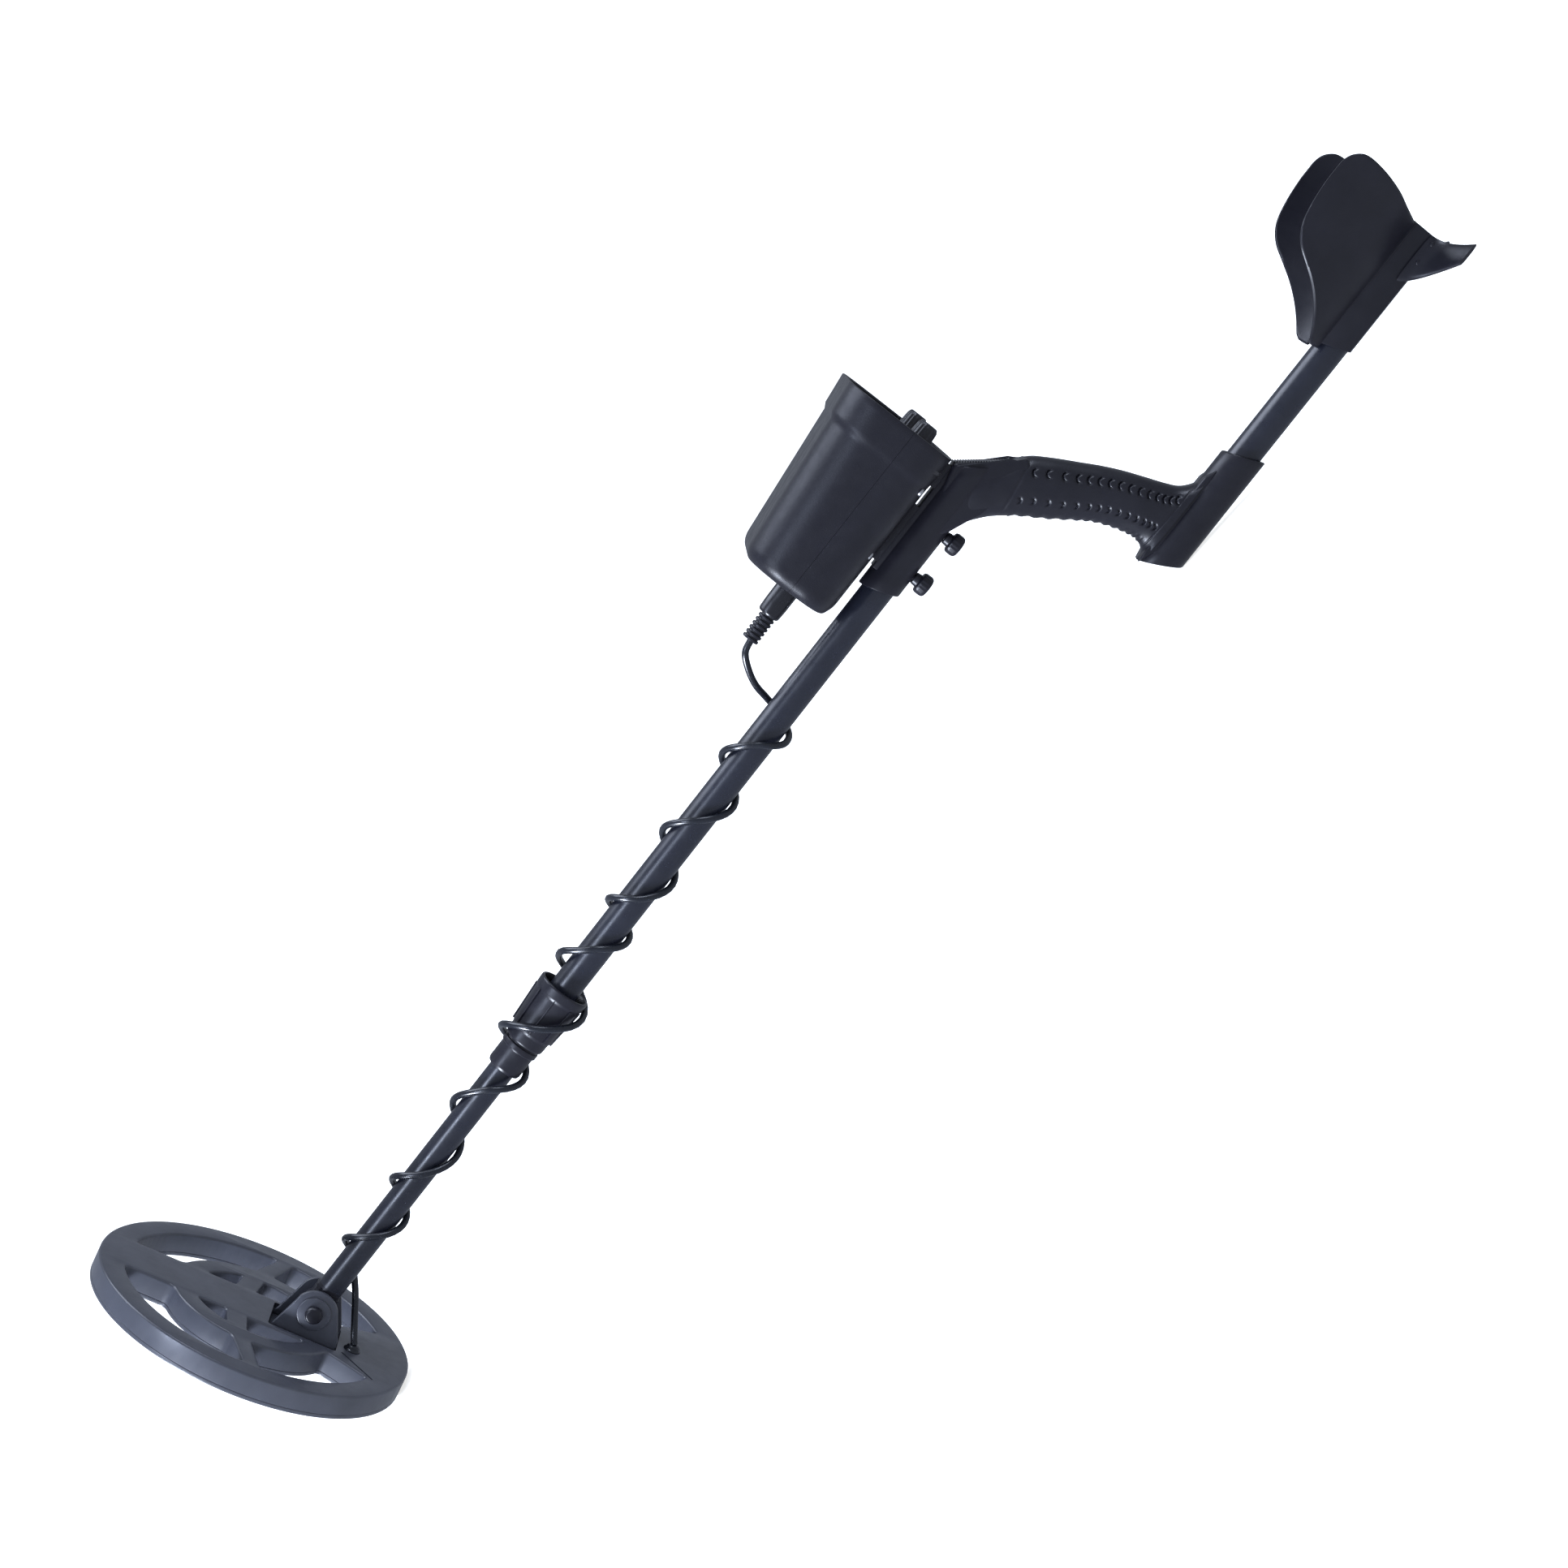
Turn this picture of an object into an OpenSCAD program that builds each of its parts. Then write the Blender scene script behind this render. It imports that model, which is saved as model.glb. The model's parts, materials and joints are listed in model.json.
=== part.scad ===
// Hand-held metal detector: spoked search coil, telescoping stem, S-shaped handle, control housing
// and arm rest. +X runs from the coil to the arm rest, +Z is up, and the origin is at the middle of
// the detector's length, on the surface it lies on: it touches down at the coil's rear edge and at
// the lower front corner of the handle.
// Every piece is drawn in the shaft's own frame: x along the stem from the coil pivot, y to the
// far side, z away from the stem towards the control housing.

/* [Stance] */
// Lean of the stem away from the coil's own axis, in degrees
coil_lean = 12.6; // [10:0.2:14]

/* [Search coil] */
// Radius of the coil's lower edge
coil_r = 117.2; // [112:0.2:122]
// Thickness of the coil
coil_t = 18; // [16:1:22]
// Inner radius of the outer ring
rim_in_r = 98.5; // [96:0.5:101]
// Outer radius of the hub ring
hub_out_r = 63; // [61:0.5:65]
// Inner radius of the hub ring
hub_in_r = 46.8; // [45:0.2:48]
// Half width of the bar that runs from front to back
bar_half_w = 23.5; // [22:0.5:25]
// Distance of the pivot behind the coil's centre
pivot_back = 38.5; // [36:0.5:41]
// Height of the pivot above the coil's top face
pivot_above = 17.3; // [16.5:0.1:19]

/* [Stem] */
// Outer radius of the lower tube
lower_r = 9.5; // [9.5:0.1:9.6]
// Outer radius of the middle and rear tubes
tube_r = 11; // [11:0.05:11.1]
// Inner radius of the middle tube
tube_bore = 9.8; // [9.8:0.05:9.9]
// Distance from the pivot to the front end of the lock
lock_x = 220; // [216:1:224]
// Length of the locking nut with its flared skirt
nut_len = 48; // [46:1:48]
// Outer radius of the skirt at its rim
nut_rim_r = 19.3; // [18.5:0.1:19.5]

/* [Handle] */
// Drop of the rear tube's axis below the stem's axis
rear_drop = 141; // [140:0.5:142]
// Half width of the rubber grip
grip_half_w = 14.5; // [13:0.5:16]
// Outer radius of the two tube sleeves
sleeve_r = 14; // [13.8:0.1:14.2]

/* [Control housing] */
// Distance from the pivot to the housing's front end
box_x = 610; // [608:1:612]
// Half width of the housing at its front end
box_front_w = 61; // [60:0.5:63]
// Half width of the housing at its open rear end
box_rear_w = 68; // [67:0.5:70]
// Height of the seam between the two half shells
seam_z = 54; // [52:0.5:55]
// Wall thickness
wall = 2.5; // [2.2:0.1:2.8]
// Distance of the knobs from the middle
knob_y = 42; // [40:0.5:43]
// Height of the knobs
knob_z = 46.5; // [45:0.5:48]

/* [Arm rest] */
// Half width of the cup at the tops of its wings
wing_half_w = 44; // [43:0.5:46]
// Half width between the tips of the two feet
foot_half_w = 38; // [36:0.5:42]

/* [Lead] */
// Radius of the coil lead
lead_r = 2.5; // [2.4:0.05:2.55]

/* [Hidden] */
$fn = 64;

slack = 0.1;                 // radial clearance of a pin in its hole
coil_top_r = coil_r - 1.6;   // radius where the edge rounding starts
cover_t = 3;                 // thickness of the coil's bottom cover
edge_drop = 1.9;             // depth of the rounded top edge
recess_d = 5;                // depth of the pocket that the ears stand in
ear_in = 12;                 // half the gap between the ears
ear_t = 3.5;                 // thickness of an ear
ear_r = 16.5;                // radius of an ear's rounded top
bolt_r = 4;                  // pivot bolt
yoke_half = 10;              // half thickness of the tongue between the ears
tube_start = 18;             // front end of the lower tube
lower_end = 490;             // hidden end of the lower tube, inside the middle tube
middle_end = 741;            // rear end of the middle tube, inside the handle
neck_side = [[700, 0], [743.8, 13], [759.4, -5.2], [716, -15]]; // block under the thumb rest
rear_start = 792;            // front end of the rear tube, inside the rear sleeve
cup_x0 = 965;                // front of the arm cup's channel
cup_x1 = 1058;               // rear of the arm cup's channel
rear_end = 1056;             // rear end of the rear tube
screw_x = [666, 700.5];      // thumb screws
panel_x = 731;               // front face of the control panel
panel_t = 2.5;               // its thickness
knob_x = [734.5, 754.5];     // underside and end of a knob
plug_z = 49;                 // height of the coil plug's axis
plug_x = [585, 609.6];       // coil plug
boot_x = [564, 585];         // its ribbed boot
foot_x = [1053, 1068];       // front and rear of a foot tip
foot_z = -168.6;             // lowest point of a foot
edge_c = 0.8;                // chamfer of the coil's lower edge
corner_x = 783;              // lower front corner of the handle

// Places of the coil's centre, its lowest point and the ends of the whole detector
centre_x = -sin(coil_lean) * pivot_back - cos(coil_lean) * pivot_above;
centre_z = cos(coil_lean) * pivot_back - sin(coil_lean) * pivot_above;
heel_x = centre_x + sin(coil_lean) * coil_r - cos(coil_lean) * (coil_t - edge_c);
heel_z = centre_z - cos(coil_lean) * coil_r - sin(coil_lean) * (coil_t - edge_c);
toe_x = centre_x - sin(coil_lean) * (coil_r - edge_c) - cos(coil_lean) * coil_t;
toe_z = centre_z + cos(coil_lean) * (coil_r - edge_c) - sin(coil_lean) * coil_t;
corner_z = -rear_drop - sleeve_r - 0.4;
shaft_pitch = atan2(heel_z - corner_z, corner_x - heel_x);
lift = -(heel_x * sin(shaft_pitch) + heel_z * cos(shaft_pitch));
front_end = toe_x * cos(shaft_pitch) - toe_z * sin(shaft_pitch);
back_end = foot_x[1] * cos(shaft_pitch) - foot_z * sin(shaft_pitch);
middle = (front_end + back_end) / 2;

// Stations of the housing's shape: x, half width, bottom, top, corner radius
box_mid_w = box_front_w + (box_rear_w - box_front_w) * 0.8;
shell_stations = [
  [box_x, box_front_w - 5, 20.5, 85, 24],
  [box_x + 2, box_front_w - 1.8, 17.8, 88.5, 26.5],
  [box_x + 7, box_front_w, 16.5, 90.6, 28],
  [box_x + 108, box_mid_w, 16, 101, 30]
];
hood_stations = [
  [box_x + 107, box_mid_w, 16, 101, 30],
  [box_x + 111, box_mid_w + 0.8, 15.8, 103, 30],
  [box_x + 133, box_rear_w, 15, 106, 30]
];
cavity_stations = [
  [box_x + wall, box_front_w - 5 - wall, 20.5 + wall, 85 - wall, 21],
  [box_x + 9, box_front_w - wall, 16.5 + wall, 90.6 - wall, 26],
  [box_x + 108, box_mid_w - wall, 16 + wall, 101 - wall, 28],
  [box_x + 134, box_rear_w - wall, 15 + wall, 106 - wall, 28]
];

// Grip outline: curves along the palm side and the finger side
palm_curve = [[757, -6], [786, -32], [814, -84], [826, -121]];
finger_curve = [[716, -17], [743, -39.5], [775, -87], [779, -122]];
grip_rings = 15;
grip_sides = 20;

// Lead: front crossings of the stem, radius of the wraps along it, and the two ends' routes
wraps = [512, 446, 376, 332, 262, 205, 127, 70, 16];
wrap_radius = [[30, 13.8], [190, 13.8], [225, 18], [250, 21], [262, 22.8], [282, 24.8], [298, 24.2],
  [310, 19.5], [328, 15.4], [560, 15.4]];
split_turn = 4.5;
split_gap = 0.03;            // turns left open where two lengths of the lead meet
tail_gap = [0.8, 0, 0.8];    // the same where the tail begins
last_turn = 7.45;
steps_per_turn = 9;
entry_route = [[564, 0, 47.5], [555, 0, 45], [547, 3, 36], [541, 7, 25], [538, 12, 13], [535, 15.6, 0],
  [531, 12.3, -9.6], [527, 3.8, -15.1], [522, -6.3, -14.3], [517, -13.5, -7.8]];
tail_route = [[33, 12.5, -7], [22, 8, -17], [10, 2, -26], [0, -4, -33.5], [-5, -6, -37.5]];

// ---- Frames ----
module at_shaft() {
  translate([-middle, 0, lift]) rotate([0, -shaft_pitch, 0]) children();
}
// Frame of the coil: x to the rear, z out of the top face, origin at the top face's centre
module at_coil() {
  at_shaft() translate([centre_x, 0, centre_z]) rotate([0, 90 - coil_lean, 0]) children();
}
// A rod along x
module rod(x0, x1, r, y = 0, z = 0) {
  translate([x0, y, z]) rotate([0, 90, 0]) cylinder(r = r, h = x1 - x0);
}
// A rod along y
module cross_rod(y0, y1, r, x = 0, z = 0) {
  translate([x, y0, z]) rotate([-90, 0, 0]) cylinder(r = r, h = y1 - y0);
}
module box(x0, x1, y0, y1, z0, z1) {
  translate([x0, y0, z0]) cube([x1 - x0, y1 - y0, z1 - z0]);
}
// A plate standing in the xz plane, cut from an outline
module side_plate(half_w, outline) {
  rotate([90, 0, 0]) translate([0, 0, -half_w]) linear_extrude(2 * half_w) polygon(outline);
}
module tube(x0, x1, r, bore, z = 0) {
  difference() {
    rod(x0, x1, r, 0, z);
    rod(x0 - 1, x1 + 1, bore, 0, z);
  }
}

// ---- Search coil ----
function spoke_front(y) = -10 + 0.38 * (y - 61);
function spoke_rear(y) = 5 + 0.314 * (y - 62);
module annulus(r_in, r_out) {
  difference() {
    circle(r_out, $fn = 128);
    circle(r_in, $fn = 96);
  }
}
// The openings on one side of the coil, seen from above
module openings() {
  intersection() {
    annulus(hub_out_r, rim_in_r);
    polygon([[-130, bar_half_w], [spoke_front(bar_half_w), bar_half_w],
             [spoke_front(130), 130], [-130, 130]]);
  }
  intersection() {
    annulus(hub_out_r, rim_in_r);
    polygon([[spoke_rear(40), 40], [spoke_rear(130), 130], [130, 130], [130, 61], [50, 23]]);
  }
  intersection() {
    circle(hub_in_r, $fn = 96);
    polygon([[-60, 24], [-19, 24], [-14, 60], [-60, 60]]);
  }
  intersection() {
    circle(hub_in_r, $fn = 96);
    polygon([[-3, 24], [2, 60], [38, 60], [38, 24]]);
  }
}
module all_openings() {
  openings();
  mirror([0, 1]) openings();
}
module ear(y0) {
  translate([0, y0 + ear_t, 0]) rotate([90, 0, 0]) linear_extrude(ear_t) {
    translate([pivot_back, pivot_above]) circle(ear_r);
    polygon([[11.5, -recess_d], [13.5, -1.5], [23.5, 23.5], [pivot_back, pivot_above], [54.5, 21],
             [61.5, 6], [62.5, -recess_d]]);
  }
}
module coil_shell() {
  inner = coil_t - cover_t;
  color([0.2, 0.21, 0.24]) at_coil() difference() {
    union() {
      difference() {
        rotate_extrude($fn = 128)
          polygon([[0, -inner], [coil_r - 0.1, -inner], [coil_top_r, -edge_drop],
                   [coil_top_r - 0.7, -0.6], [coil_top_r - 2, 0], [0, 0]]);
        translate([0, 0, -coil_t]) linear_extrude(coil_t + 1) all_openings();
        box(11.5, 62.5, -20, 20, -recess_d, 1);
        for (track = [[101.5, 112], [50, 60]]) {
          translate([0, 0, -inner - 1]) linear_extrude(10) annulus(track[0], track[1]);
        }
      }
      ear(ear_in);
      ear(-ear_in - ear_t);
      cross_rod(ear_in + ear_t - 0.2, ear_in + ear_t + 1.4, 12, pivot_back, pivot_above);
      cross_rod(-ear_in - ear_t - 1.4, -ear_in - ear_t + 0.2, 12, pivot_back, pivot_above);
    }
    cross_rod(-30, 30, bolt_r + slack, pivot_back, pivot_above);
    translate([74, -6, -inner]) cylinder(r = 2.6, h = inner + 1);
  }
}
module coil_base() {
  color([0.13, 0.13, 0.15]) at_coil() difference() {
    rotate_extrude($fn = 128)
      polygon([[0, -coil_t], [coil_r - 0.8, -coil_t], [coil_r, -coil_t + 0.8],
               [coil_r - 0.1, -coil_t + cover_t], [0, -coil_t + cover_t]]);
    translate([0, 0, -coil_t - 1]) linear_extrude(cover_t + 2) all_openings();
  }
}
module winding(r_in, r_out) {
  color([0.62, 0.33, 0.15]) at_coil() translate([0, 0, -coil_t + cover_t + 0.5])
    rotate_extrude($fn = 128) translate([r_in, 0]) square([r_out - r_in, 7]);
}
module transmit_winding() {
  winding(102.5, 111);
}
module receive_winding() {
  winding(51, 59);
}
module coil_gland() {
  color([0.06, 0.06, 0.07]) at_coil() translate([74, -6, 0]) difference() {
    rotate_extrude() polygon([[0, 0], [5, 0], [5, 1.6], [3.8, 3.6], [0, 3.6]]);
    translate([0, 0, -1]) cylinder(r = lead_r + 0.1, h = 6);
  }
}
module pivot_bolt() {
  head_y = -ear_in - ear_t - 1.5;
  color([0.1, 0.1, 0.12]) at_shaft() {
    cross_rod(head_y - 5, head_y, 6.4);
    cross_rod(head_y, ear_in + ear_t + 9, bolt_r);
  }
}
// Wing nut: hub and two wings
module pivot_nut() {
  nut_y = ear_in + ear_t + 1.6;
  color([0.08, 0.08, 0.09]) at_shaft() difference() {
    union() {
      cross_rod(nut_y, nut_y + 7, 7.5);
      for (turn = [20, 200]) {
        rotate([0, turn, 0]) box(4, 15, nut_y + 1.5, nut_y + 4.5, -3.5, 3.5);
      }
    }
    cross_rod(nut_y - 1, nut_y + 9, bolt_r + 0.05);
  }
}

// ---- Lower stem ----
module stem_yoke() {
  color([0.1, 0.1, 0.11]) at_shaft() difference() {
    union() {
      cross_rod(-yoke_half, yoke_half, 11);
      intersection() {
        box(0, tube_start - 3, -yoke_half, yoke_half, -lower_r, lower_r);
        rod(0, tube_start, 12.5);
      }
      rod(tube_start - 3.5, tube_start, lower_r);
      rod(tube_start, tube_start + 32, 8.1);
    }
    cross_rod(-20, 20, bolt_r + slack);
  }
}
module pivot_washers() {
  color([0.05, 0.05, 0.05]) at_shaft() for (side = [-1, 1]) {
    difference() {
      translate([0, side * (yoke_half + 0.9), 0]) rotate([90, 0, 0])
        cylinder(r = 9.5, h = 1.8, center = true);
      cross_rod(-30, 30, bolt_r + slack);
    }
  }
}
module lower_tube() {
  color([0.12, 0.12, 0.14]) at_shaft() tube(tube_start, lower_end, lower_r, 8.1);
}
// Slide bush: a spigot inside the lower tube with a collar that runs in the middle tube
module stem_bush() {
  color([0.75, 0.75, 0.72]) at_shaft() difference() {
    union() {
      rod(lower_end - 18, lower_end, 8.1);
      rod(lower_end, lower_end + 12, tube_bore - 0.2);
    }
    rod(lower_end - 20, lower_end + 14, 6.5);
  }
}

// ---- Telescopic lock ----
module lock_body() {
  color([0.11, 0.11, 0.13]) at_shaft() difference() {
    union() {
      rod(lock_x, lock_x + 2, 12);
      rod(lock_x + 2, lock_x + 34, 12.8);
      rod(lock_x + 18, lock_x + 22, 13.9);
    }
    rod(lock_x - 1, lock_x + 36, lower_r + 0.4);
    rod(lock_x + 16, lock_x + 36, tube_r);
    rod(lock_x + 4, lock_x + 16, 11.4);
  }
}
// Split collet that the nut squeezes on the lower tube
module lock_collet() {
  color([0.7, 0.7, 0.68]) at_shaft() difference() {
    tube(lock_x + 4.2, lock_x + 15.8, 11.3, lower_r + 0.4);
    box(lock_x, lock_x + 20, -0.8, 0.8, 0, 15);
  }
}
// Nut with a flared, ribbed skirt that is open towards the handle
module lock_nut() {
  x0 = lock_x + 24;
  x1 = x0 + nut_len;
  color([0.1, 0.1, 0.12]) at_shaft() difference() {
    union() {
      translate([x0, 0, 0]) rotate([0, 90, 0]) rotate_extrude()
        polygon([[0, 0], [14.6, 0], [15.4, 2], [nut_rim_r - 1.2, nut_len - 8],
                 [nut_rim_r, nut_len - 6], [nut_rim_r, nut_len], [0, nut_len]]);
      for (turn = [0 : 36 : 324]) {
        rotate([turn, 0, 0]) translate([x0 + 9, 0, 15.6]) rotate([0, -4.3, 0])
          translate([0, -1, 0]) cube([nut_len - 17, 2, 1.2]);
      }
    }
    rod(x0 - 1, x0 + 11, 13.1);
    translate([x0 + 10.9, 0, 0]) rotate([0, 90, 0])
      cylinder(r1 = 13.1, r2 = nut_rim_r - 2.6, h = nut_len - 10.8);
  }
}
module middle_tube() {
  color([0.12, 0.12, 0.14]) at_shaft() difference() {
    tube(lock_x + 16, middle_end, tube_r, tube_bore);
    for (x = screw_x) {
      translate([x, 0, -20]) cylinder(r = 3, h = 40);
    }
  }
}

// ---- Handle ----
function bezier(p, t) =
  pow(1 - t, 3) * p[0] + 3 * pow(1 - t, 2) * t * p[1] + 3 * (1 - t) * t * t * p[2] + pow(t, 3) * p[3];
function signed_pow(v, e) = sign(v) * pow(abs(v), e);
// The outline between the two grip curves, drawn in by a share of its depth
function grip_side(from, to, share) =
  [for (i = [0 : 12]) let (t = i / 12) bezier(from, t) * (1 - share) + bezier(to, t) * share];
module handle_frame() {
  color([0.1, 0.1, 0.12]) at_shaft() difference() {
    union() {
      intersection() {
        rod(630, 770, sleeve_r);
        side_plate(20, [[640.5, 20], [742, 15], [762, -16], [649, -16]]);
      }
      intersection() {
        rod(760, 880, sleeve_r + 0.4, 0, -rear_drop);
        side_plate(20, [[767, -125], [862, -125], [873, -157], [783, -157]]);
      }
      side_plate(8, concat([[735, -8]], grip_side(palm_curve, finger_curve, 0.2), [[812, -136], [790, -136]],
        [for (i = [12 : -1 : 0]) grip_side(finger_curve, palm_curve, 0.2)[i]]));
      side_plate(9.5, neck_side);
    }
    rod(600, middle_end, tube_r);
    rod(rear_start, 900, tube_r, 0, -rear_drop);
    for (x = screw_x) {
      translate([x, 0, -30]) cylinder(r = 3, h = 60);
    }
  }
}
// One ring of the grip's skin
function grip_ring(t) =
  let (palm = bezier(palm_curve, t), finger = bezier(finger_curve, t))
  [for (i = [0 : grip_sides - 1])
    let (a = 360 * i / grip_sides, u = signed_pow(cos(a), 0.85), v = signed_pow(sin(a), 0.85),
         p = (palm + finger) / 2 + (palm - finger) / 2 * u)
    [p[0], grip_half_w * v, p[1]]];
module grip_overmould() {
  rings = [for (i = [0 : grip_rings - 1]) grip_ring(i / (grip_rings - 1))];
  points = [for (ring = rings) for (p = ring) p];
  n = grip_sides;
  ends = [[for (i = [0 : n - 1]) i], [for (i = [n - 1 : -1 : 0]) (grip_rings - 1) * n + i]];
  skin = [for (k = [0 : grip_rings - 2]) for (i = [0 : n - 1])
    [k * n + i, (k + 1) * n + i, (k + 1) * n + (i + 1) % n, k * n + (i + 1) % n]];
  color([0.07, 0.07, 0.08]) at_shaft() difference() {
    polyhedron(points, concat(ends, skin), convexity = 6);
    rod(630, 770, sleeve_r);
    rod(760, 880, sleeve_r + 0.4, 0, -rear_drop);
    side_plate(8, concat([[735, -8]], grip_side(palm_curve, finger_curve, 0.2), [[812, -136], [790, -136]],
      [for (i = [12 : -1 : 0]) grip_side(finger_curve, palm_curve, 0.2)[i]]));
    side_plate(9.5, neck_side);
  }
}
// Serrated strip that the thumb rests on
module thumb_rest() {
  teeth = 16;
  foot = [759.4, -5.2];
  head = [743.8, 13];
  step = (foot - head) / teeth;
  out = [-step[1], step[0]] / norm(step);
  color([0.09, 0.09, 0.1]) at_shaft() side_plate(8, concat(
    [for (i = [0 : teeth - 1]) each [head + step * i + out * 1.2, head + step * (i + 0.5) + out * 2]],
    [foot + out * 1.2, foot + out * 0.2, head + out * 0.2]));
}
module thumb_screw(x) {
  color([0.09, 0.09, 0.1]) at_shaft() translate([x, 0, 0]) difference() {
    rotate_extrude() polygon([[0, -27], [6.6, -27], [7.8, -25.6], [7.8, -19.5], [7, -18.4],
      [4.8, -18.2], [4.2, -14.3], [2.9, -14.3], [2.9, 24], [0, 24]]);
    for (turn = [0 : 30 : 330]) {
      rotate([0, 0, turn]) translate([8.3, 0, -28]) cylinder(r = 0.9, h = 9, $fn = 16);
    }
  }
}
module front_thumb_screw() {
  thumb_screw(screw_x[0]);
}
module rear_thumb_screw() {
  thumb_screw(screw_x[1]);
}
// Brass nuts in the housing's foot that the thumb screws run into
module clamp_nuts() {
  color([0.75, 0.6, 0.3]) at_shaft() for (x = screw_x) {
    translate([x, 0, 19.2]) difference() {
      cylinder(r = 5.5, h = 4, $fn = 6);
      translate([0, 0, -1]) cylinder(r = 3, h = 6);
    }
  }
}
module rear_tube() {
  color([0.12, 0.12, 0.14]) at_shaft() tube(rear_start, rear_end, tube_r, tube_bore, -rear_drop);
}
module tube_cap() {
  color([0.07, 0.07, 0.08]) at_shaft() {
    rod(rear_end - 14, rear_end, tube_bore, 0, -rear_drop);
    rod(rear_end, rear_end + 1.6, tube_r, 0, -rear_drop);
  }
}

// ---- Arm rest ----
wing_outline = [[953, -132], [953, -124], [962, -117], [971, -109], [980, -98.5], [988, -86],
  [994, -76], [1001, -69], [1010, -64.5], [1025, -61.5], [1045, -60], [1057, -61], [1064, -65.5],
  [1067.5, -73], [1067, -88], [1064, -105], [1060, -118], [1057, -132]];
wing_r = 80;
wing_t = 2.6;
wing_axis = [-wing_half_w + 8.4, -68.3];
channel_top = -129;
channel_low = -152.4;
channel_rake = 8.5;          // how far the channel's front end leans forward at its top
module wing() {
  intersection() {
    difference() {
      rod(950, 1070, wing_r, wing_axis[0], wing_axis[1]);
      rod(949, 1071, wing_r - wing_t, wing_axis[0], wing_axis[1]);
    }
    side_plate(60, wing_outline);
    box(940, 1080, 10, 60, -131.6, -50);
  }
}
module channel_block() {
  side_plate(14, [[cup_x0 - channel_rake, channel_top], [cup_x1, channel_top],
    [cup_x1, channel_low], [cup_x0, channel_low]]);
}
module arm_cup() {
  color([0.11, 0.11, 0.13]) at_shaft() difference() {
    union() {
      channel_block();
      side_plate(14, [[954, -131.5], [955, -127], [cup_x0, -127], [cup_x1, -127], [cup_x1, -131.5]]);
      wing();
      mirror([0, 1, 0]) wing();
    }
    rod(900, 1060, tube_r, 0, -rear_drop);
    for (x = [1038, 1053]) {
      cross_rod(-20, 20, 1.2, x, -148.5);
    }
  }
}
module leg() {
  hull() {
    box(1020, 1058, 8, 15.6, -154, -146);
    box(foot_x[0], foot_x[1], foot_half_w - 5, foot_half_w, foot_z, foot_z + 4);
  }
}
module arm_stand() {
  color([0.11, 0.11, 0.13]) at_shaft() difference() {
    union() {
      leg();
      mirror([0, 1, 0]) leg();
    }
    channel_block();
    for (x = [1038, 1053]) {
      cross_rod(-20, 20, 1.2, x, -148.5);
      cross_rod(-22, -15.5, 2.2, x, -148.5);
      cross_rod(15.5, 22, 2.2, x, -148.5);
    }
  }
}
module arm_screws() {
  color([0.2, 0.2, 0.22]) at_shaft() for (x = [1038, 1053]) {
    for (side = [-1, 1]) {
      cross_rod(side > 0 ? 11.5 : -15.6, side > 0 ? 15.6 : -11.5, 1.2, x, -148.5);
      cross_rod(side > 0 ? 15.6 : -16.6, side > 0 ? 16.6 : -15.6, 2, x, -148.5);
    }
  }
}

// ---- Control housing ----
// A rounded-rectangular body through a list of stations
module lofted(stations) {
  hull() for (st = stations) {
    for (y = [-st[1] + st[4], st[1] - st[4]]) {
      for (z = [st[2] + st[4], st[3] - st[4]]) {
        rod(st[0], st[0] + 0.5, st[4], y, z);
      }
    }
  }
}
module housing_form() {
  difference() {
    union() {
      lofted(shell_stations);
      lofted(hood_stations);
    }
    lofted(cavity_stations);
  }
}
boss_at = [[662, 44, 92], [662, -44, 92], [716, 50, 96], [716, -50, 96]];
module housing_top() {
  color([0.13, 0.13, 0.15]) at_shaft() difference() {
    union() {
      intersection() {
        housing_form();
        box(600, 760, -80, 80, seam_z, 120);
      }
      for (at = boss_at) {
        translate([at[0], at[1], seam_z]) cylinder(r = 4, h = at[2] - seam_z);
      }
    }
    for (at = boss_at) {
      translate([at[0], at[1], seam_z - 1]) cylinder(r = 1.4, h = 12);
    }
    battery_hatch(0);
    rod(box_x - 1, box_x + 6, 8.2, 0, plug_z);
  }
}
module housing_bottom() {
  color([0.13, 0.13, 0.15]) at_shaft() difference() {
    union() {
      intersection() {
        housing_form();
        box(600, 760, -80, 80, 0, seam_z);
      }
      for (at = boss_at) {
        translate([at[0], at[1], 19]) cylinder(r = 4, h = seam_z - 19);
      }
      box(660, 706, -10, 10, sleeve_r + 0.05, 19);
      box(722, 741, -10, 10, sleeve_r + 0.05, 17);
    }
    for (at = boss_at) {
      translate([at[0], at[1], 10]) cylinder(r = 1.6, h = 60);
      translate([at[0], at[1], 10]) cylinder(r = 3.2, h = 12);
    }
    for (x = screw_x) {
      translate([x, 0, 0]) cylinder(r = 3, h = 30);
    }
    for (row = [0 : 4]) {
      translate([620 + row * 7, -34, 10]) cube([3, 16, 16]);
    }
    battery_hatch(0);
    box(box_x - 1, box_x + 1.6, 15.2, 43.3, 25.4, 28);
    cross_rod(16.6, 41.9, 1.4, box_x + 1.2, 27.4);
    rod(box_x - 1, box_x + 6, 8.2, 0, plug_z);
    cross_rod(50, 80, 4.7, 704, 47);
  }
}
module housing_screws() {
  color([0.5, 0.5, 0.52]) at_shaft() for (at = boss_at) {
    translate([at[0], at[1], 0]) {
      translate([0, 0, 20]) cylinder(r = 2.9, h = 2);
      translate([0, 0, 22]) cylinder(r = 1.4, h = 40);
    }
  }
}
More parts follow.
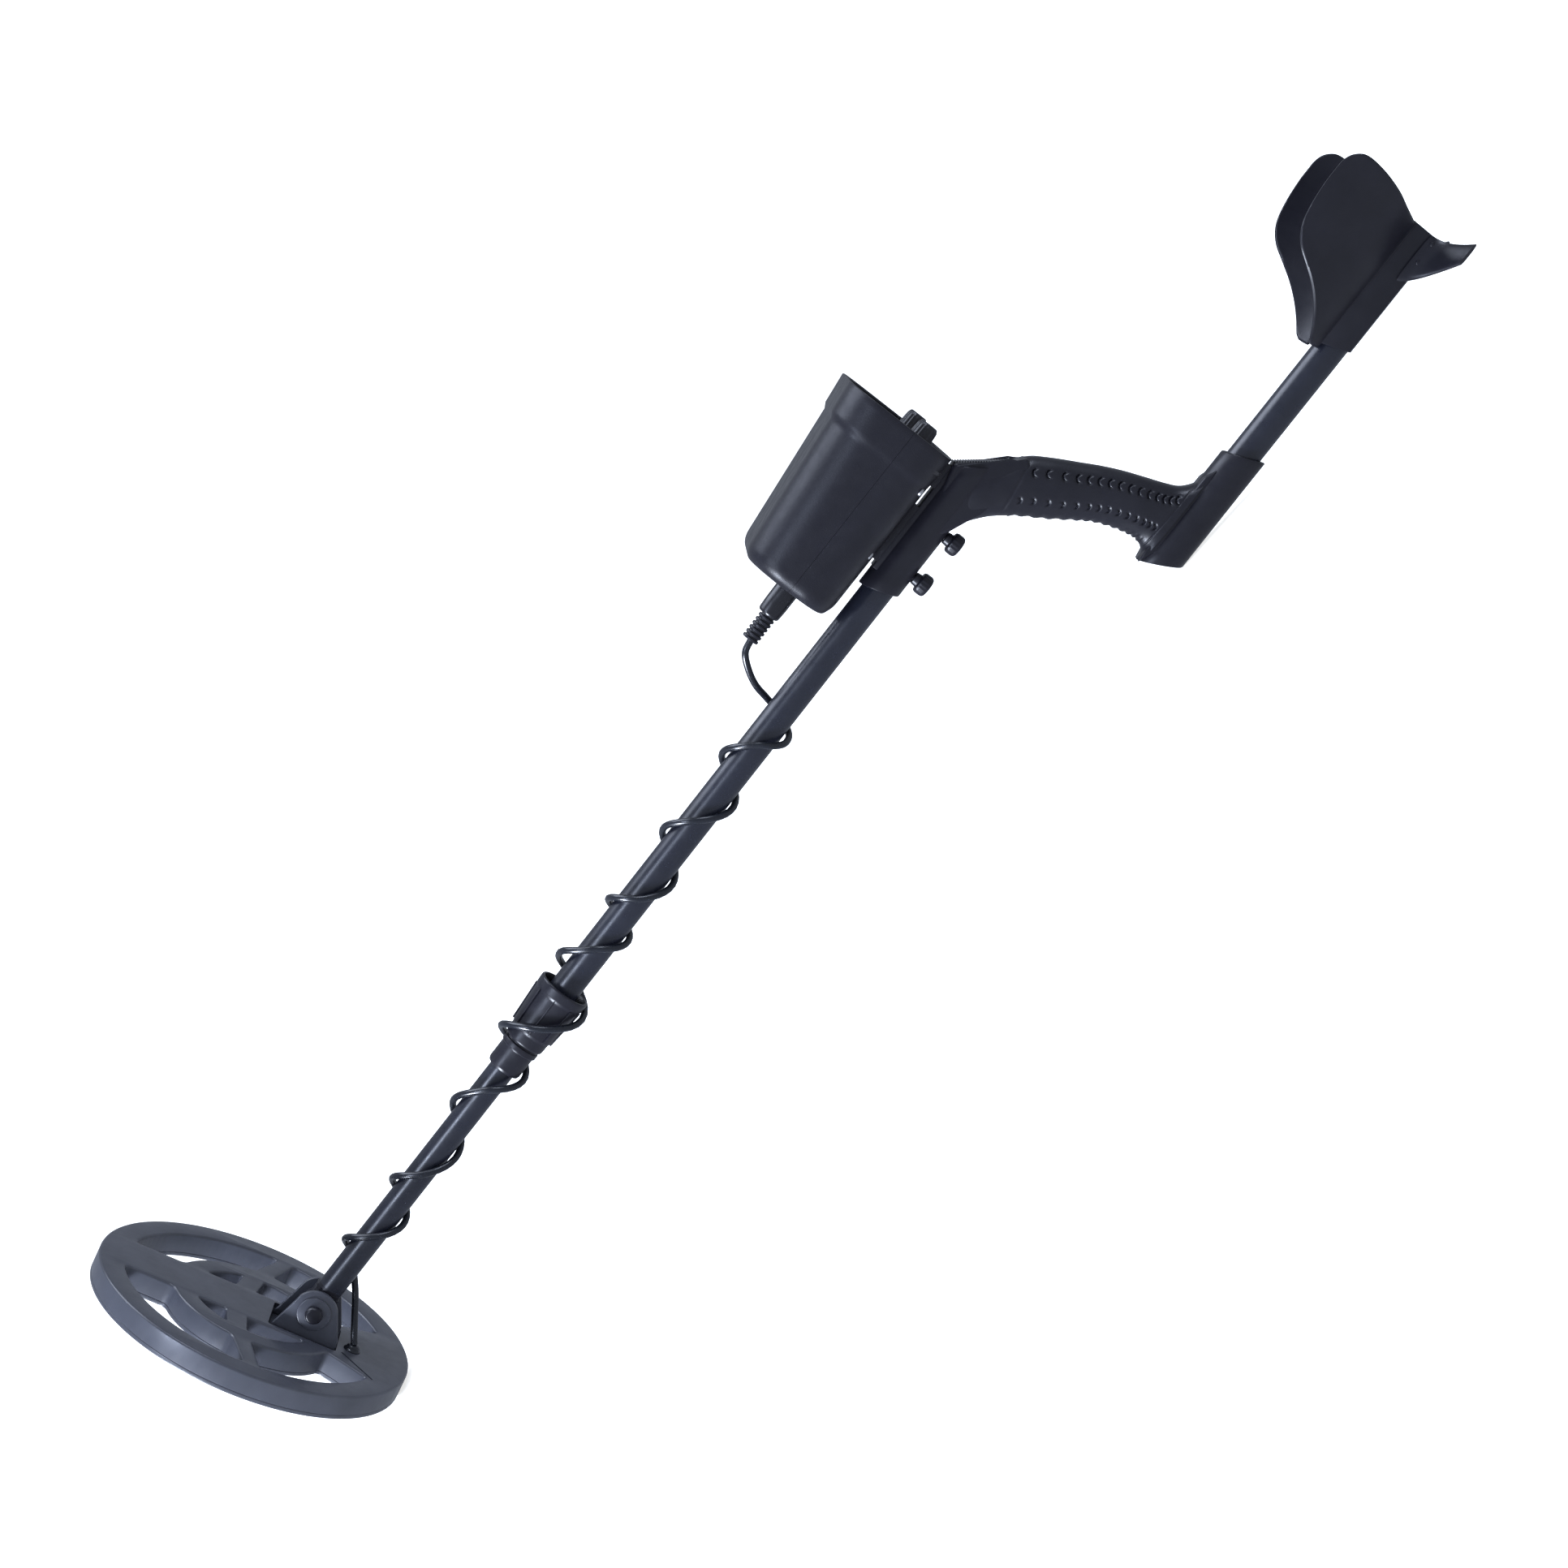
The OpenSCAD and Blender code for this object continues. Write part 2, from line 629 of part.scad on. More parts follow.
// Opening in the front end for the batteries, grown on every side by a gap
module battery_hatch(gap) {
  box(box_x - 1, box_x + wall + 0.5, 15.5 + gap, 43 - gap, 27 + gap, 78 - gap);
}
module face_panel() {
  color([0.06, 0.06, 0.07]) at_shaft() difference() {
    hull() for (y = [-37.5, 37.5]) {
      for (z = [46, 74]) {
        rod(panel_x, panel_x + panel_t, 26.5, y, z);
      }
    }
    for (y = [-knob_y, knob_y]) {
      rod(panel_x - 1, panel_x + 4, 3.6, y, knob_z);
    }
    box(panel_x - 1, panel_x + 4, -30, 30, 65, 95);
    box(panel_x - 1, panel_x + 4, -8, 8, knob_z - 2.6, knob_z + 2.6);
  }
}
module meter_case() {
  color([0.08, 0.08, 0.09]) at_shaft() difference() {
    box(716, panel_x, -32, 32, 63, 97);
    box(717.5, panel_x + 1, -30.5, 30.5, 64.5, 95.5);
  }
}
module meter_window() {
  color([0.8, 0.85, 0.9, 0.4]) at_shaft() box(panel_x + 0.8, panel_x + 2.2, -30, 30, 65, 95);
}
module meter_dial() {
  color([0.92, 0.92, 0.88]) at_shaft() difference() {
    box(722, 723.2, -30.4, 30.4, 64.6, 95.4);
    rod(720, 725, 1.3, 0, 68);
  }
}
module meter_needle() {
  color([0.8, 0.1, 0.08]) at_shaft() {
    rod(718, 727, 1.2, 0, 68);
    rod(725, 727, 2.6, 0, 68);
    box(725.6, 726.4, -0.45, 0.45, 70, 92);
  }
}
module knob(y) {
  color([0.09, 0.09, 0.1]) at_shaft() translate([0, y, knob_z]) difference() {
    translate([knob_x[0], 0, 0]) rotate([0, 90, 0]) rotate_extrude()
      polygon([[0, 0], [9.4, 0], [9.4, 3], [8.4, 4.2], [7.6, 18], [6.4, 20], [0, 20]]);
    rod(knob_x[0] - 1, knob_x[0] + 12, 3);
    for (turn = [0 : 30 : 330]) {
      rotate([turn, 0, 0]) rod(knob_x[0] + 4.5, knob_x[0] + 18, 0.8, 0, 8.5);
    }
    box(knob_x[1] - 1, knob_x[1] + 1, -0.5, 0.5, 1, 8);
  }
}
module sensitivity_knob() {
  knob(-knob_y);
}
module discrimination_knob() {
  knob(knob_y);
}
// Potentiometer: a can behind the panel and its threaded neck; the shaft turns inside the knob
module potentiometer(y) {
  color([0.55, 0.55, 0.57]) at_shaft() translate([0, y, knob_z]) {
    rod(721, panel_x - 0.1, 8.2);
    rod(panel_x - 0.1, panel_x + 3.2, 3.5);
    rod(panel_x + 3.2, knob_x[0] + 11.5, 2.9);
  }
}
module sensitivity_pot() {
  potentiometer(-knob_y);
}
module discrimination_pot() {
  potentiometer(knob_y);
}
module mode_switch() {
  color([0.3, 0.3, 0.32]) at_shaft() difference() {
    box(721, panel_x, -12, 12, knob_z - 5, knob_z + 5);
    box(727, panel_x + 1, -6.4, 6.4, knob_z - 2, knob_z + 2);
  }
}
module switch_slider() {
  color([0.7, 0.7, 0.7]) at_shaft() {
    box(727.4, panel_x + 1.4, -2.4, 2.4, knob_z - 1.7, knob_z + 1.7);
    box(panel_x + 1.4, panel_x + 5, -2.8, 2.8, knob_z - 2.2, knob_z + 2.2);
  }
}
module circuit_board() {
  color([0.05, 0.3, 0.15]) at_shaft() difference() {
    box(654, 712, -38, 38, 34, 35.6);
    translate([704, 34, 30]) cylinder(r = 1.5, h = 8);
  }
}
module board_parts() {
  color([0.08, 0.08, 0.08]) at_shaft() {
    box(670, 690, -12, -4, 35.6, 39);
    box(670, 684, 6, 14, 35.6, 38);
    for (y = [-30, -20, 26]) {
      translate([664, y, 35.6]) cylinder(r = 3.2, h = 11);
    }
    for (x = [694 : 5 : 704]) {
      box(x, x + 2.4, -32, -26, 35.6, 38.4);
    }
  }
}
module speaker() {
  color([0.2, 0.2, 0.2]) at_shaft() translate([633, -28, 27]) rotate_extrude()
    polygon([[0, 2], [6, 1], [16, 0], [18, 0], [18, 2], [16.5, 3], [9, 6], [9, 12], [0, 12]]);
}
// Two 9-volt blocks, one behind the other
module batteries() {
  color([0.2, 0.2, 0.25]) at_shaft() for (x = [614.5, 633]) {
    box(x, x + 17.2, 16.2, 42.4, 28, 74);
    for (y = [23, 35.6]) {
      translate([x + 8.6, y, 74]) cylinder(r = 2.8, h = 2.6);
    }
  }
}
module battery_door() {
  color([0.13, 0.13, 0.15]) at_shaft() {
    difference() {
      intersection() {
        battery_hatch(0.35);
        box(box_x + 0.1, box_x + 2.2, 0, 60, 0, 90);
      }
      box(box_x - 1, box_x + 0.9, 24, 34.5, 71, 74);
    }
    cross_rod(17, 41.5, 1.1, box_x + 1.2, 27.4);
  }
}
// Five-pin socket in the housing's front end
module coil_socket() {
  color([0.6, 0.6, 0.62]) at_shaft() difference() {
    union() {
      rod(box_x - 0.3, box_x + 14, 8.1, 0, plug_z);
      rod(box_x + wall + 0.1, box_x + 5, 10, 0, plug_z);
    }
    rod(box_x - 1, box_x + 10, 6.4, 0, plug_z);
  }
}
module headphone_jack() {
  color([0.1, 0.1, 0.1]) at_shaft() difference() {
    union() {
      cross_rod(34, 67.6, 4.6, 704, 47);
      cross_rod(66.9, 68.6, 6.5, 704, 47);
    }
    cross_rod(36, 70, 3.2, 704, 47);
  }
}

// ---- Lead ----
module coil_plug() {
  color([0.08, 0.08, 0.09]) at_shaft() {
    rod(plug_x[0], plug_x[0] + 1.2, 7.6, 0, plug_z);
    rod(plug_x[0] + 1.2, plug_x[1], 8.6, 0, plug_z);
    rod(plug_x[1], plug_x[1] + 9, 6.1, 0, plug_z);
  }
}
module plug_boot() {
  color([0.07, 0.07, 0.08]) at_shaft() difference() {
    union() {
      rod(boot_x[0], boot_x[1], 5.2, 0, plug_z - 0.7);
      for (i = [0 : 5]) {
        rod(boot_x[0] + i * 3.6, boot_x[0] + i * 3.6 + 2, 6.1, 0, plug_z - 0.7);
      }
    }
    rod(boot_x[0] - 1, boot_x[0] + 0.2, lead_r, 0, plug_z - 0.7);
  }
}
// Point of the wound lead after so many turns
function wrap_point(turn) =
  let (k = floor(turn), f = turn - k, x = wraps[k] * (1 - f) + wraps[k + 1] * f - 3 * sin(360 * f),
       r = lookup(x, wrap_radius))
  [x, -r * cos(360 * turn), r * sin(360 * turn) + 0.4];
function wound(from, to) =
  let (n = ceil((to - from) * steps_per_turn))
  [for (i = [0 : n]) wrap_point(from + (to - from) * i / n)];
function unit(v) = v / norm(v);
// A tube swept along a route, with mitred rings
module lead(route) {
  n = len(route);
  sides = 8;
  along = [for (i = [0 : n - 1]) unit(route[min(i + 1, n - 1)] - route[max(i - 1, 0)])];
  points = [for (i = [0 : n - 1])
    let (axis = [0, 0.05, 1], u = unit(cross(along[i], abs(along[i] * unit(axis)) > 0.95 ? [0, 1, 0] : axis)),
         v = cross(along[i], u))
    for (k = [0 : sides - 1]) route[i] + lead_r * (cos(45 * k) * u + sin(45 * k) * v)];
  ends = [[for (k = [sides - 1 : -1 : 0]) k], [for (k = [0 : sides - 1]) (n - 1) * sides + k]];
  skin = [for (i = [0 : n - 2]) for (k = [0 : sides - 1])
    [i * sides + k, i * sides + (k + 1) % sides, (i + 1) * sides + (k + 1) % sides, (i + 1) * sides + k]];
  polyhedron(points, concat(ends, skin), convexity = 10);
}
module cable_upper() {
  color([0.04, 0.04, 0.05]) at_shaft() lead(concat(entry_route, wound(0, split_turn)));
}
module cable_lower() {
  color([0.04, 0.04, 0.05]) at_shaft()
    lead(concat(wound(split_turn + split_gap, last_turn), [tail_route[0] + tail_gap]));
}
module cable_tail() {
  color([0.04, 0.04, 0.05]) at_shaft() lead(tail_route);
}

coil_shell();
coil_base();
transmit_winding();
receive_winding();
coil_gland();
pivot_bolt();
pivot_nut();
stem_yoke();
pivot_washers();
lower_tube();
stem_bush();
lock_body();
lock_collet();
lock_nut();
middle_tube();
handle_frame();
grip_overmould();
thumb_rest();
front_thumb_screw();
rear_thumb_screw();
clamp_nuts();
rear_tube();
tube_cap();
arm_cup();
arm_stand();
arm_screws();
housing_top();
housing_bottom();
housing_screws();
face_panel();
meter_case();
meter_window();
meter_dial();
meter_needle();
sensitivity_knob();
discrimination_knob();
sensitivity_pot();
discrimination_pot();
mode_switch();
switch_slider();
circuit_board();
board_parts();
speaker();
batteries();
battery_door();
coil_socket();
headphone_jack();
coil_plug();
plug_boot();
cable_upper();
cable_lower();
cable_tail();
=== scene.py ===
"""Hand-held metal detector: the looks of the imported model. Shapes are built in millimetres in the
stem's own frame (x along the stem from the coil pivot, y to the far side, z towards the housing)
and are placed by one matrix that comes from the model's joints."""
import json
import math

import bmesh
import bpy
from mathutils import Matrix, Vector


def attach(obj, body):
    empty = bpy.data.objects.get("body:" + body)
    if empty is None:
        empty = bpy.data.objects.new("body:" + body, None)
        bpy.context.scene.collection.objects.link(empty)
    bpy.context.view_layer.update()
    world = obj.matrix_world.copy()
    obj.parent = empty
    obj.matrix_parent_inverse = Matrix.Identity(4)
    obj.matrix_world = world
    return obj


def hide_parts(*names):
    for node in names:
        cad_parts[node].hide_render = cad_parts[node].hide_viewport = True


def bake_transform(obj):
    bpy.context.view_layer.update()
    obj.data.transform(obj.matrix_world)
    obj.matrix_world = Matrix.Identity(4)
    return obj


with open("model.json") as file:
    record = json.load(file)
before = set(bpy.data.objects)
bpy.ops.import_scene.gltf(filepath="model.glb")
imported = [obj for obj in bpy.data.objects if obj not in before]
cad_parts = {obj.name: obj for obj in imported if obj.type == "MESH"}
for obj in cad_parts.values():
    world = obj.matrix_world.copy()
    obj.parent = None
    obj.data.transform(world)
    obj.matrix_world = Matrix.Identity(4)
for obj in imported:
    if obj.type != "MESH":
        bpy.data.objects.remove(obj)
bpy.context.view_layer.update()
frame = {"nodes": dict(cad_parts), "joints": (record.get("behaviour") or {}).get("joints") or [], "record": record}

# ---- Frames ------------------------------------------------------------------------------------
MM = 0.001
JOINTS = {joint["name"]: joint for joint in frame["joints"]}
ALONG = -Vector(JOINTS["stem_slide"]["axis"]).normalized()
ACROSS = Vector((0, 1, 0))
UPWARD = ALONG.cross(ACROSS)
PIVOT = Vector(JOINTS["coil_tilt"]["pos_m"])
TURN = Matrix((ALONG, ACROSS, UPWARD)).transposed().to_4x4()
SHAFT = Matrix.Translation(PIVOT) @ TURN @ Matrix.Scale(MM, 4)

# Search coil, in millimetres
LEAN = math.radians(12.6)
PIVOT_BACK = 38.5
PIVOT_ABOVE = 17.3
COIL_R = 117.2
COIL_T = 18
COVER_T = 3
RIM_IN = 98.5
HUB_OUT = 63
HUB_IN = 46.8
BAR = 23.5
EAR_R = 16.5
BOSS_R = 12
GLAND_AT = (74, -6, 0)
CENTRE_X = -math.sin(LEAN) * PIVOT_BACK - math.cos(LEAN) * PIVOT_ABOVE
CENTRE_Z = math.cos(LEAN) * PIVOT_BACK - math.sin(LEAN) * PIVOT_ABOVE
COIL = SHAFT @ Matrix.Translation((CENTRE_X, 0, CENTRE_Z)) @ Matrix.Rotation(math.pi / 2 - LEAN, 4, "Y")

# Stem, handle, housing and arm rest
TUBE_R = 11
REAR_DROP = 141
SLEEVE_R = 14
PLUG_Z = 49
KNOB_Y = 42
KNOB_Z = 46.5
PANEL_X = 731
SHELL_FRONT = 610
SHELL_REAR = 744
NOSE = 12
WALL = 2.5
SEAM_Z = 54
CROWN = 6
CROWN_HALF = 36
LEAD_R = 2.5
LEAD_SIDES = 16
TURN_STEPS = 24
NUT_X = 244
NUT_LENGTH = 48
CHANNEL_LOW = -152.4
CHANNEL_TOP = -128.2
FOOT_Z = -168.6
SCREW_X = (666, 700.5)
FLOOR_SIZE = 24
HOUSING_SCREWS = ((662, 44), (662, -44), (716, 50), (716, -50))


# ---- Camera ------------------------------------------------------------------------------------
CAMERA_AT = (781, -2104, 295)
LOOKS_AT = (499, 0, -32)
STEM_ON_SCREEN = 51.8
LENS = 71.6


def make_camera():
    """The camera stands beside the handle, a little above it, and the stem climbs to the right."""
    stand = SHAFT @ Vector(CAMERA_AT)
    target = SHAFT @ Vector(LOOKS_AT)
    camera = bpy.data.objects.new("camera", bpy.data.cameras.new("camera"))
    bpy.context.scene.collection.objects.link(camera)
    back = (stand - target).normalized()
    stem = (ALONG - back * ALONG.dot(back)).normalized()
    right = Matrix.Rotation(-math.radians(STEM_ON_SCREEN), 3, back) @ stem
    up = back.cross(right)
    camera.matrix_world = Matrix.Translation(stand) @ Matrix((right, up, back)).transposed().to_4x4()
    camera.data.lens = LENS
    camera.data.sensor_width = 36
    camera.data.clip_end = 50
    bpy.context.scene.camera = camera
    bpy.context.scene.view_settings.view_transform = "Standard"


# ---- Materials ---------------------------------------------------------------------------------
def material(name, colour, rough, grain=None, metallic=0.0, shine=0.5, streak=None, fleck=0.1):
    """A moulded surface: colour that varies a little, a fine grain in its bump, and uneven gloss."""
    made = bpy.data.materials.new(name)
    made.use_nodes = True
    nodes, links = made.node_tree.nodes, made.node_tree.links
    shader = nodes["Principled BSDF"]
    shader.inputs["Metallic"].default_value = metallic
    shader.inputs["Specular IOR Level"].default_value = shine
    place = nodes.new("ShaderNodeTexCoord")

    def noise(scale, detail, stretch=(1, 1, 1)):
        mapping = nodes.new("ShaderNodeMapping")
        mapping.inputs["Scale"].default_value = stretch
        links.new(place.outputs["Object"], mapping.inputs["Vector"])
        texture = nodes.new("ShaderNodeTexNoise")
        texture.inputs["Scale"].default_value = scale
        texture.inputs["Detail"].default_value = detail
        links.new(mapping.outputs["Vector"], texture.inputs["Vector"])
        return texture

    def span(texture, low, high):
        reach = nodes.new("ShaderNodeMapRange")
        reach.inputs["From Min"].default_value = 0.3
        reach.inputs["From Max"].default_value = 0.7
        reach.inputs["To Min"].default_value = low
        reach.inputs["To Max"].default_value = high
        links.new(texture.outputs["Fac"], reach.inputs["Value"])
        return reach

    cloud = noise(45, 3)
    ramp = nodes.new("ShaderNodeValToRGB")
    ramp.color_ramp.elements[0].position = 0.3
    ramp.color_ramp.elements[1].position = 0.7
    ramp.color_ramp.elements[0].color = [c * (1 - fleck) for c in colour] + [1]
    ramp.color_ramp.elements[1].color = [c * (1 + fleck) for c in colour] + [1]
    links.new(cloud.outputs["Fac"], ramp.inputs["Fac"])
    links.new(ramp.outputs["Color"], shader.inputs["Base Color"])
    gloss = span(noise(120, 2, streak or (1, 1, 1)), rough - 0.04, rough + 0.05)
    links.new(gloss.outputs["Result"], shader.inputs["Roughness"])
    scale, strength = grain or (900, 0.06)
    bump = nodes.new("ShaderNodeBump")
    bump.inputs["Strength"].default_value = strength
    bump.inputs["Distance"].default_value = 0.0003
    links.new(noise(scale, 2, streak or (1, 1, 1)).outputs["Fac"], bump.inputs["Height"])
    links.new(bump.outputs["Normal"], shader.inputs["Normal"])
    return made


def glass(name):
    """A clear window: the moulded surface with light passing through it."""
    made = material(name, (0.9, 0.93, 0.95), 0.06, fleck=0.02)
    made.node_tree.nodes["Principled BSDF"].inputs["Transmission Weight"].default_value = 0.9
    return made


def make_materials():
    """One material for each of the record's slots."""
    return {
        "coil_plastic": material("coil_plastic", (0.026, 0.028, 0.036), 0.32, (700, 0.12), shine=0.45,
                                 streak=(0.25, 1, 1)),
        "black_plastic": material("black_plastic", (0.006, 0.006, 0.009), 0.34, (1100, 0.1), shine=0.26),
        "housing_plastic": material("housing_plastic", (0.006, 0.006, 0.009), 0.38, (1600, 0.35),
                                    shine=0.22),
        "panel_plastic": material("panel_plastic", (0.005, 0.005, 0.007), 0.28, (900, 0.05), shine=0.4),
        "knob_plastic": material("knob_plastic", (0.006, 0.006, 0.009), 0.36, (1300, 0.08), shine=0.4),
        "tube_finish": material("tube_finish", (0.006, 0.007, 0.012), 0.3, (1500, 0.08), shine=0.45),
        "grip_rubber": material("grip_rubber", (0.006, 0.006, 0.009), 0.34, (1800, 0.2), shine=0.28),
        "cable_black": material("cable_black", (0.005, 0.006, 0.009), 0.26, (1200, 0.05), shine=0.4),
        "pale_nylon": material("pale_nylon", (0.62, 0.61, 0.56), 0.5),
        "copper": material("copper", (0.62, 0.27, 0.12), 0.3, (500, 0.3), 1.0, streak=(1, 1, 6)),
        "brass": material("brass", (0.75, 0.55, 0.24), 0.3, metallic=1.0),
        "steel": material("steel", (0.48, 0.48, 0.5), 0.32, metallic=1.0, streak=(1, 6, 1)),
        "clear_window": glass("clear_window"),
        "dial_white": material("dial_white", (0.82, 0.82, 0.77), 0.6),
        "needle_red": material("needle_red", (0.6, 0.04, 0.03), 0.4),
        "switch_grey": material("switch_grey", (0.45, 0.45, 0.46), 0.45),
        "board_green": material("board_green", (0.02, 0.16, 0.07), 0.4, fleck=0.25),
        "speaker_black": material("speaker_black", (0.03, 0.03, 0.03), 0.7),
        "battery_case": material("battery_case", (0.05, 0.05, 0.07), 0.35, metallic=0.5),
    }


def dress_cad_nodes(looks):
    """Every carried-over CAD node takes its slot's material."""
    for part in frame["record"]["subparts"]:
        node = frame["nodes"][part["node"]]
        node.data.materials.clear()
        node.data.materials.append(looks[part["material_slot"]])
        node.data.shade_smooth()
        node.data.set_sharp_from_angle(angle=math.radians(28))


# ---- Mesh helpers ------------------------------------------------------------------------------
def finish_piece(name, bm, body, slot, nodes=(), place=SHAFT, crease=35, ride=True):
    """Turns a bmesh in millimetres into a piece in the row frame that rides on a body."""
    bmesh.ops.remove_doubles(bm, verts=bm.verts, dist=1e-4)
    bmesh.ops.recalc_face_normals(bm, faces=bm.faces)
    bm.transform(place)
    mesh = bpy.data.meshes.new(name)
    bm.to_mesh(mesh)
    bm.free()
    mesh.shade_smooth()
    mesh.set_sharp_from_angle(angle=math.radians(crease))
    piece = bpy.data.objects.new(name, mesh)
    bpy.context.scene.collection.objects.link(piece)
    mesh.materials.append(LOOKS[slot])
    if ride:
        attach(piece, body)
    if nodes:
        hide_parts(*nodes)
    return piece


def loft(bm, rings, cap_start=True, cap_end=True, closed=True):
    """Skins a list of rings with the same number of points."""
    rows = [[bm.verts.new(p) for p in ring] for ring in rings]
    count = len(rows[0])
    for low, high in zip(rows, rows[1:]):
        for i in range(count if closed else count - 1):
            j = (i + 1) % count
            bm.faces.new((low[i], low[j], high[j], high[i]))
    if cap_start:
        bm.faces.new(rows[0][::-1])
    if cap_end:
        bm.faces.new(rows[-1])
    return rows


def lathe(bm, profile, at=(0, 0, 0), axis="x", sides=48, flute=None):
    """Turns a profile of (distance along the axis, radius) pairs round the axis; flute(turn, along)
    scales the radius."""
    rings = []
    for along, radius in profile:
        ring = []
        for i in range(sides):
            turn = 2 * math.pi * i / sides
            r = max(radius, 0.01) * (flute(turn, along) if flute else 1)
            c, s = r * math.cos(turn), r * math.sin(turn)
            local = {"x": (along, c, s), "y": (c, along, s), "z": (c, s, along)}[axis]
            ring.append(Vector(at) + Vector(local))
        rings.append(ring)
    return loft(bm, rings)


def turned_shell(bm, profile, sides):
    """Turns a closed profile of (distance, radius) pairs round the stem's axis, with no caps."""
    rings = []
    for along, radius in profile:
        turns = [2 * math.pi * i / sides for i in range(sides)]
        rings.append([(along, radius * math.cos(a), radius * math.sin(a)) for a in turns])
    loft(bm, rings + [rings[0]], False, False)


def eased(profile, cut=0.8, steps=3):
    """Rounds every corner of a profile with a small curve."""
    points = [Vector(p) for p in profile]
    out = [points[0]]
    for before, corner, after in zip(points, points[1:], points[2:]):
        back = min(cut, (before - corner).length / 2.2)
        ahead = min(cut, (after - corner).length / 2.2)
        start = corner + (before - corner).normalized() * back
        end = corner + (after - corner).normalized() * ahead
        for i in range(steps + 1):
            t = i / steps
            out.append(start * (1 - t) ** 2 + corner * 2 * t * (1 - t) + end * t * t)
    out.append(points[-1])
    return [tuple(p) for p in out]


def sweep(bm, path, radius, sides=16):
    """A round tube along a path, with frames carried along so that it never twists."""
    path = [Vector(p) for p in path]
    last = len(path) - 1
    tangents = [(path[min(i + 1, last)] - path[max(i - 1, 0)]).normalized() for i in range(last + 1)]
    side = tangents[0].orthogonal().normalized()
    rings = []
    for point, tangent in zip(path, tangents):
        side = (side - tangent * side.dot(tangent)).normalized()
        other = tangent.cross(side)
        rings.append([point + radius * (side * math.cos(a) + other * math.sin(a))
                      for a in (2 * math.pi * i / sides for i in range(sides))])
    loft(bm, rings)


def smooth_line(points, steps=8):
    """A Catmull-Rom curve through given points."""
    points = [Vector(p) for p in points]
    ends = [points[0] * 2 - points[1]] + points + [points[-1] * 2 - points[-2]]
    line = []
    for a, b, c, d in zip(ends, ends[1:], ends[2:], ends[3:]):
        for i in range(steps):
            t = i / steps
            line.append(0.5 * (2 * b + (c - a) * t + (2 * a - 5 * b + 4 * c - d) * t * t
                               + (3 * b - 3 * c + d - a) * t ** 3))
    line.append(points[-1])
    return line


def bevelled_box(bm, low, high, edge=0.8, steps=2):
    """A box between two corners, with rounded edges."""
    made = bmesh.ops.create_cube(bm, size=1)["verts"]
    low, high = Vector(low), Vector(high)
    for vert in made:
        vert.co = Vector([(low[k] + high[k]) / 2 + vert.co[k] * (high[k] - low[k]) for k in range(3)])
    edges = list({e for v in made for e in v.link_edges})
    bmesh.ops.bevel(bm, geom=edges, offset=edge, segments=steps, affect="EDGES", profile=0.5)


def outline_solid(name, loops, low, high, edge=1.2):
    """A plate in the xy plane with rounded edges, from an outline and its holes, as a bmesh."""
    curve = bpy.data.curves.new(name, "CURVE")
    curve.dimensions = "2D"
    curve.fill_mode = "BOTH"
    curve.extrude = (high - low) / 2 - edge
    curve.bevel_depth = edge
    curve.bevel_resolution = 2
    curve.offset = -edge
    for loop in loops:
        spline = curve.splines.new("POLY")
        spline.points.add(len(loop) - 1)
        for point, (x, y) in zip(spline.points, loop):
            point.co = (x, y, 0, 1)
        spline.use_cyclic_u = True
    holder = bpy.data.objects.new(name, curve)
    bpy.context.scene.collection.objects.link(holder)
    bpy.context.view_layer.update()
    mesh = bpy.data.meshes.new_from_object(holder.evaluated_get(bpy.context.evaluated_depsgraph_get()))
    bpy.data.objects.remove(holder)
    bpy.data.curves.remove(curve)
    bm = bmesh.new()
    bm.from_mesh(mesh)
    bpy.data.meshes.remove(mesh)
    bmesh.ops.remove_doubles(bm, verts=bm.verts, dist=1e-4)
    bmesh.ops.translate(bm, verts=bm.verts, vec=(0, 0, (low + high) / 2))
    return bm


def cut_with(bm, cutter_bm):
    """Subtracts one bmesh from another with an exact boolean, and returns a new bmesh."""
    holders = []
    for source in (bm, cutter_bm):
        bmesh.ops.recalc_face_normals(source, faces=source.faces)
        mesh = bpy.data.meshes.new("cut")
        source.to_mesh(mesh)
        source.free()
        holder = bpy.data.objects.new("cut", mesh)
        bpy.context.scene.collection.objects.link(holder)
        holders.append(holder)
    solid, cutter = holders
    modifier = solid.modifiers.new("cut", "BOOLEAN")
    modifier.operation = "DIFFERENCE"
    modifier.solver = "EXACT"
    modifier.object = cutter
    bpy.context.view_layer.update()
    mesh = bpy.data.meshes.new_from_object(solid.evaluated_get(bpy.context.evaluated_depsgraph_get()))
    result = bmesh.new()
    result.from_mesh(mesh)
    bpy.data.meshes.remove(mesh)
    for holder in holders:
        data = holder.data
        bpy.data.objects.remove(holder)
        bpy.data.meshes.remove(data)
    return result


def cut_flat(bm, point, normal):
    """Cuts off what lies on the normal's side of a plane and closes the cut."""
    geometry = list(bm.verts) + list(bm.edges) + list(bm.faces)
    cut = bmesh.ops.bisect_plane(bm, geom=geometry, plane_co=point, plane_no=normal, clear_outer=True)
    edges = [g for g in cut["geom_cut"] if isinstance(g, bmesh.types.BMEdge)]
    bmesh.ops.triangle_fill(bm, edges=edges, use_beauty=True, use_dissolve=False)


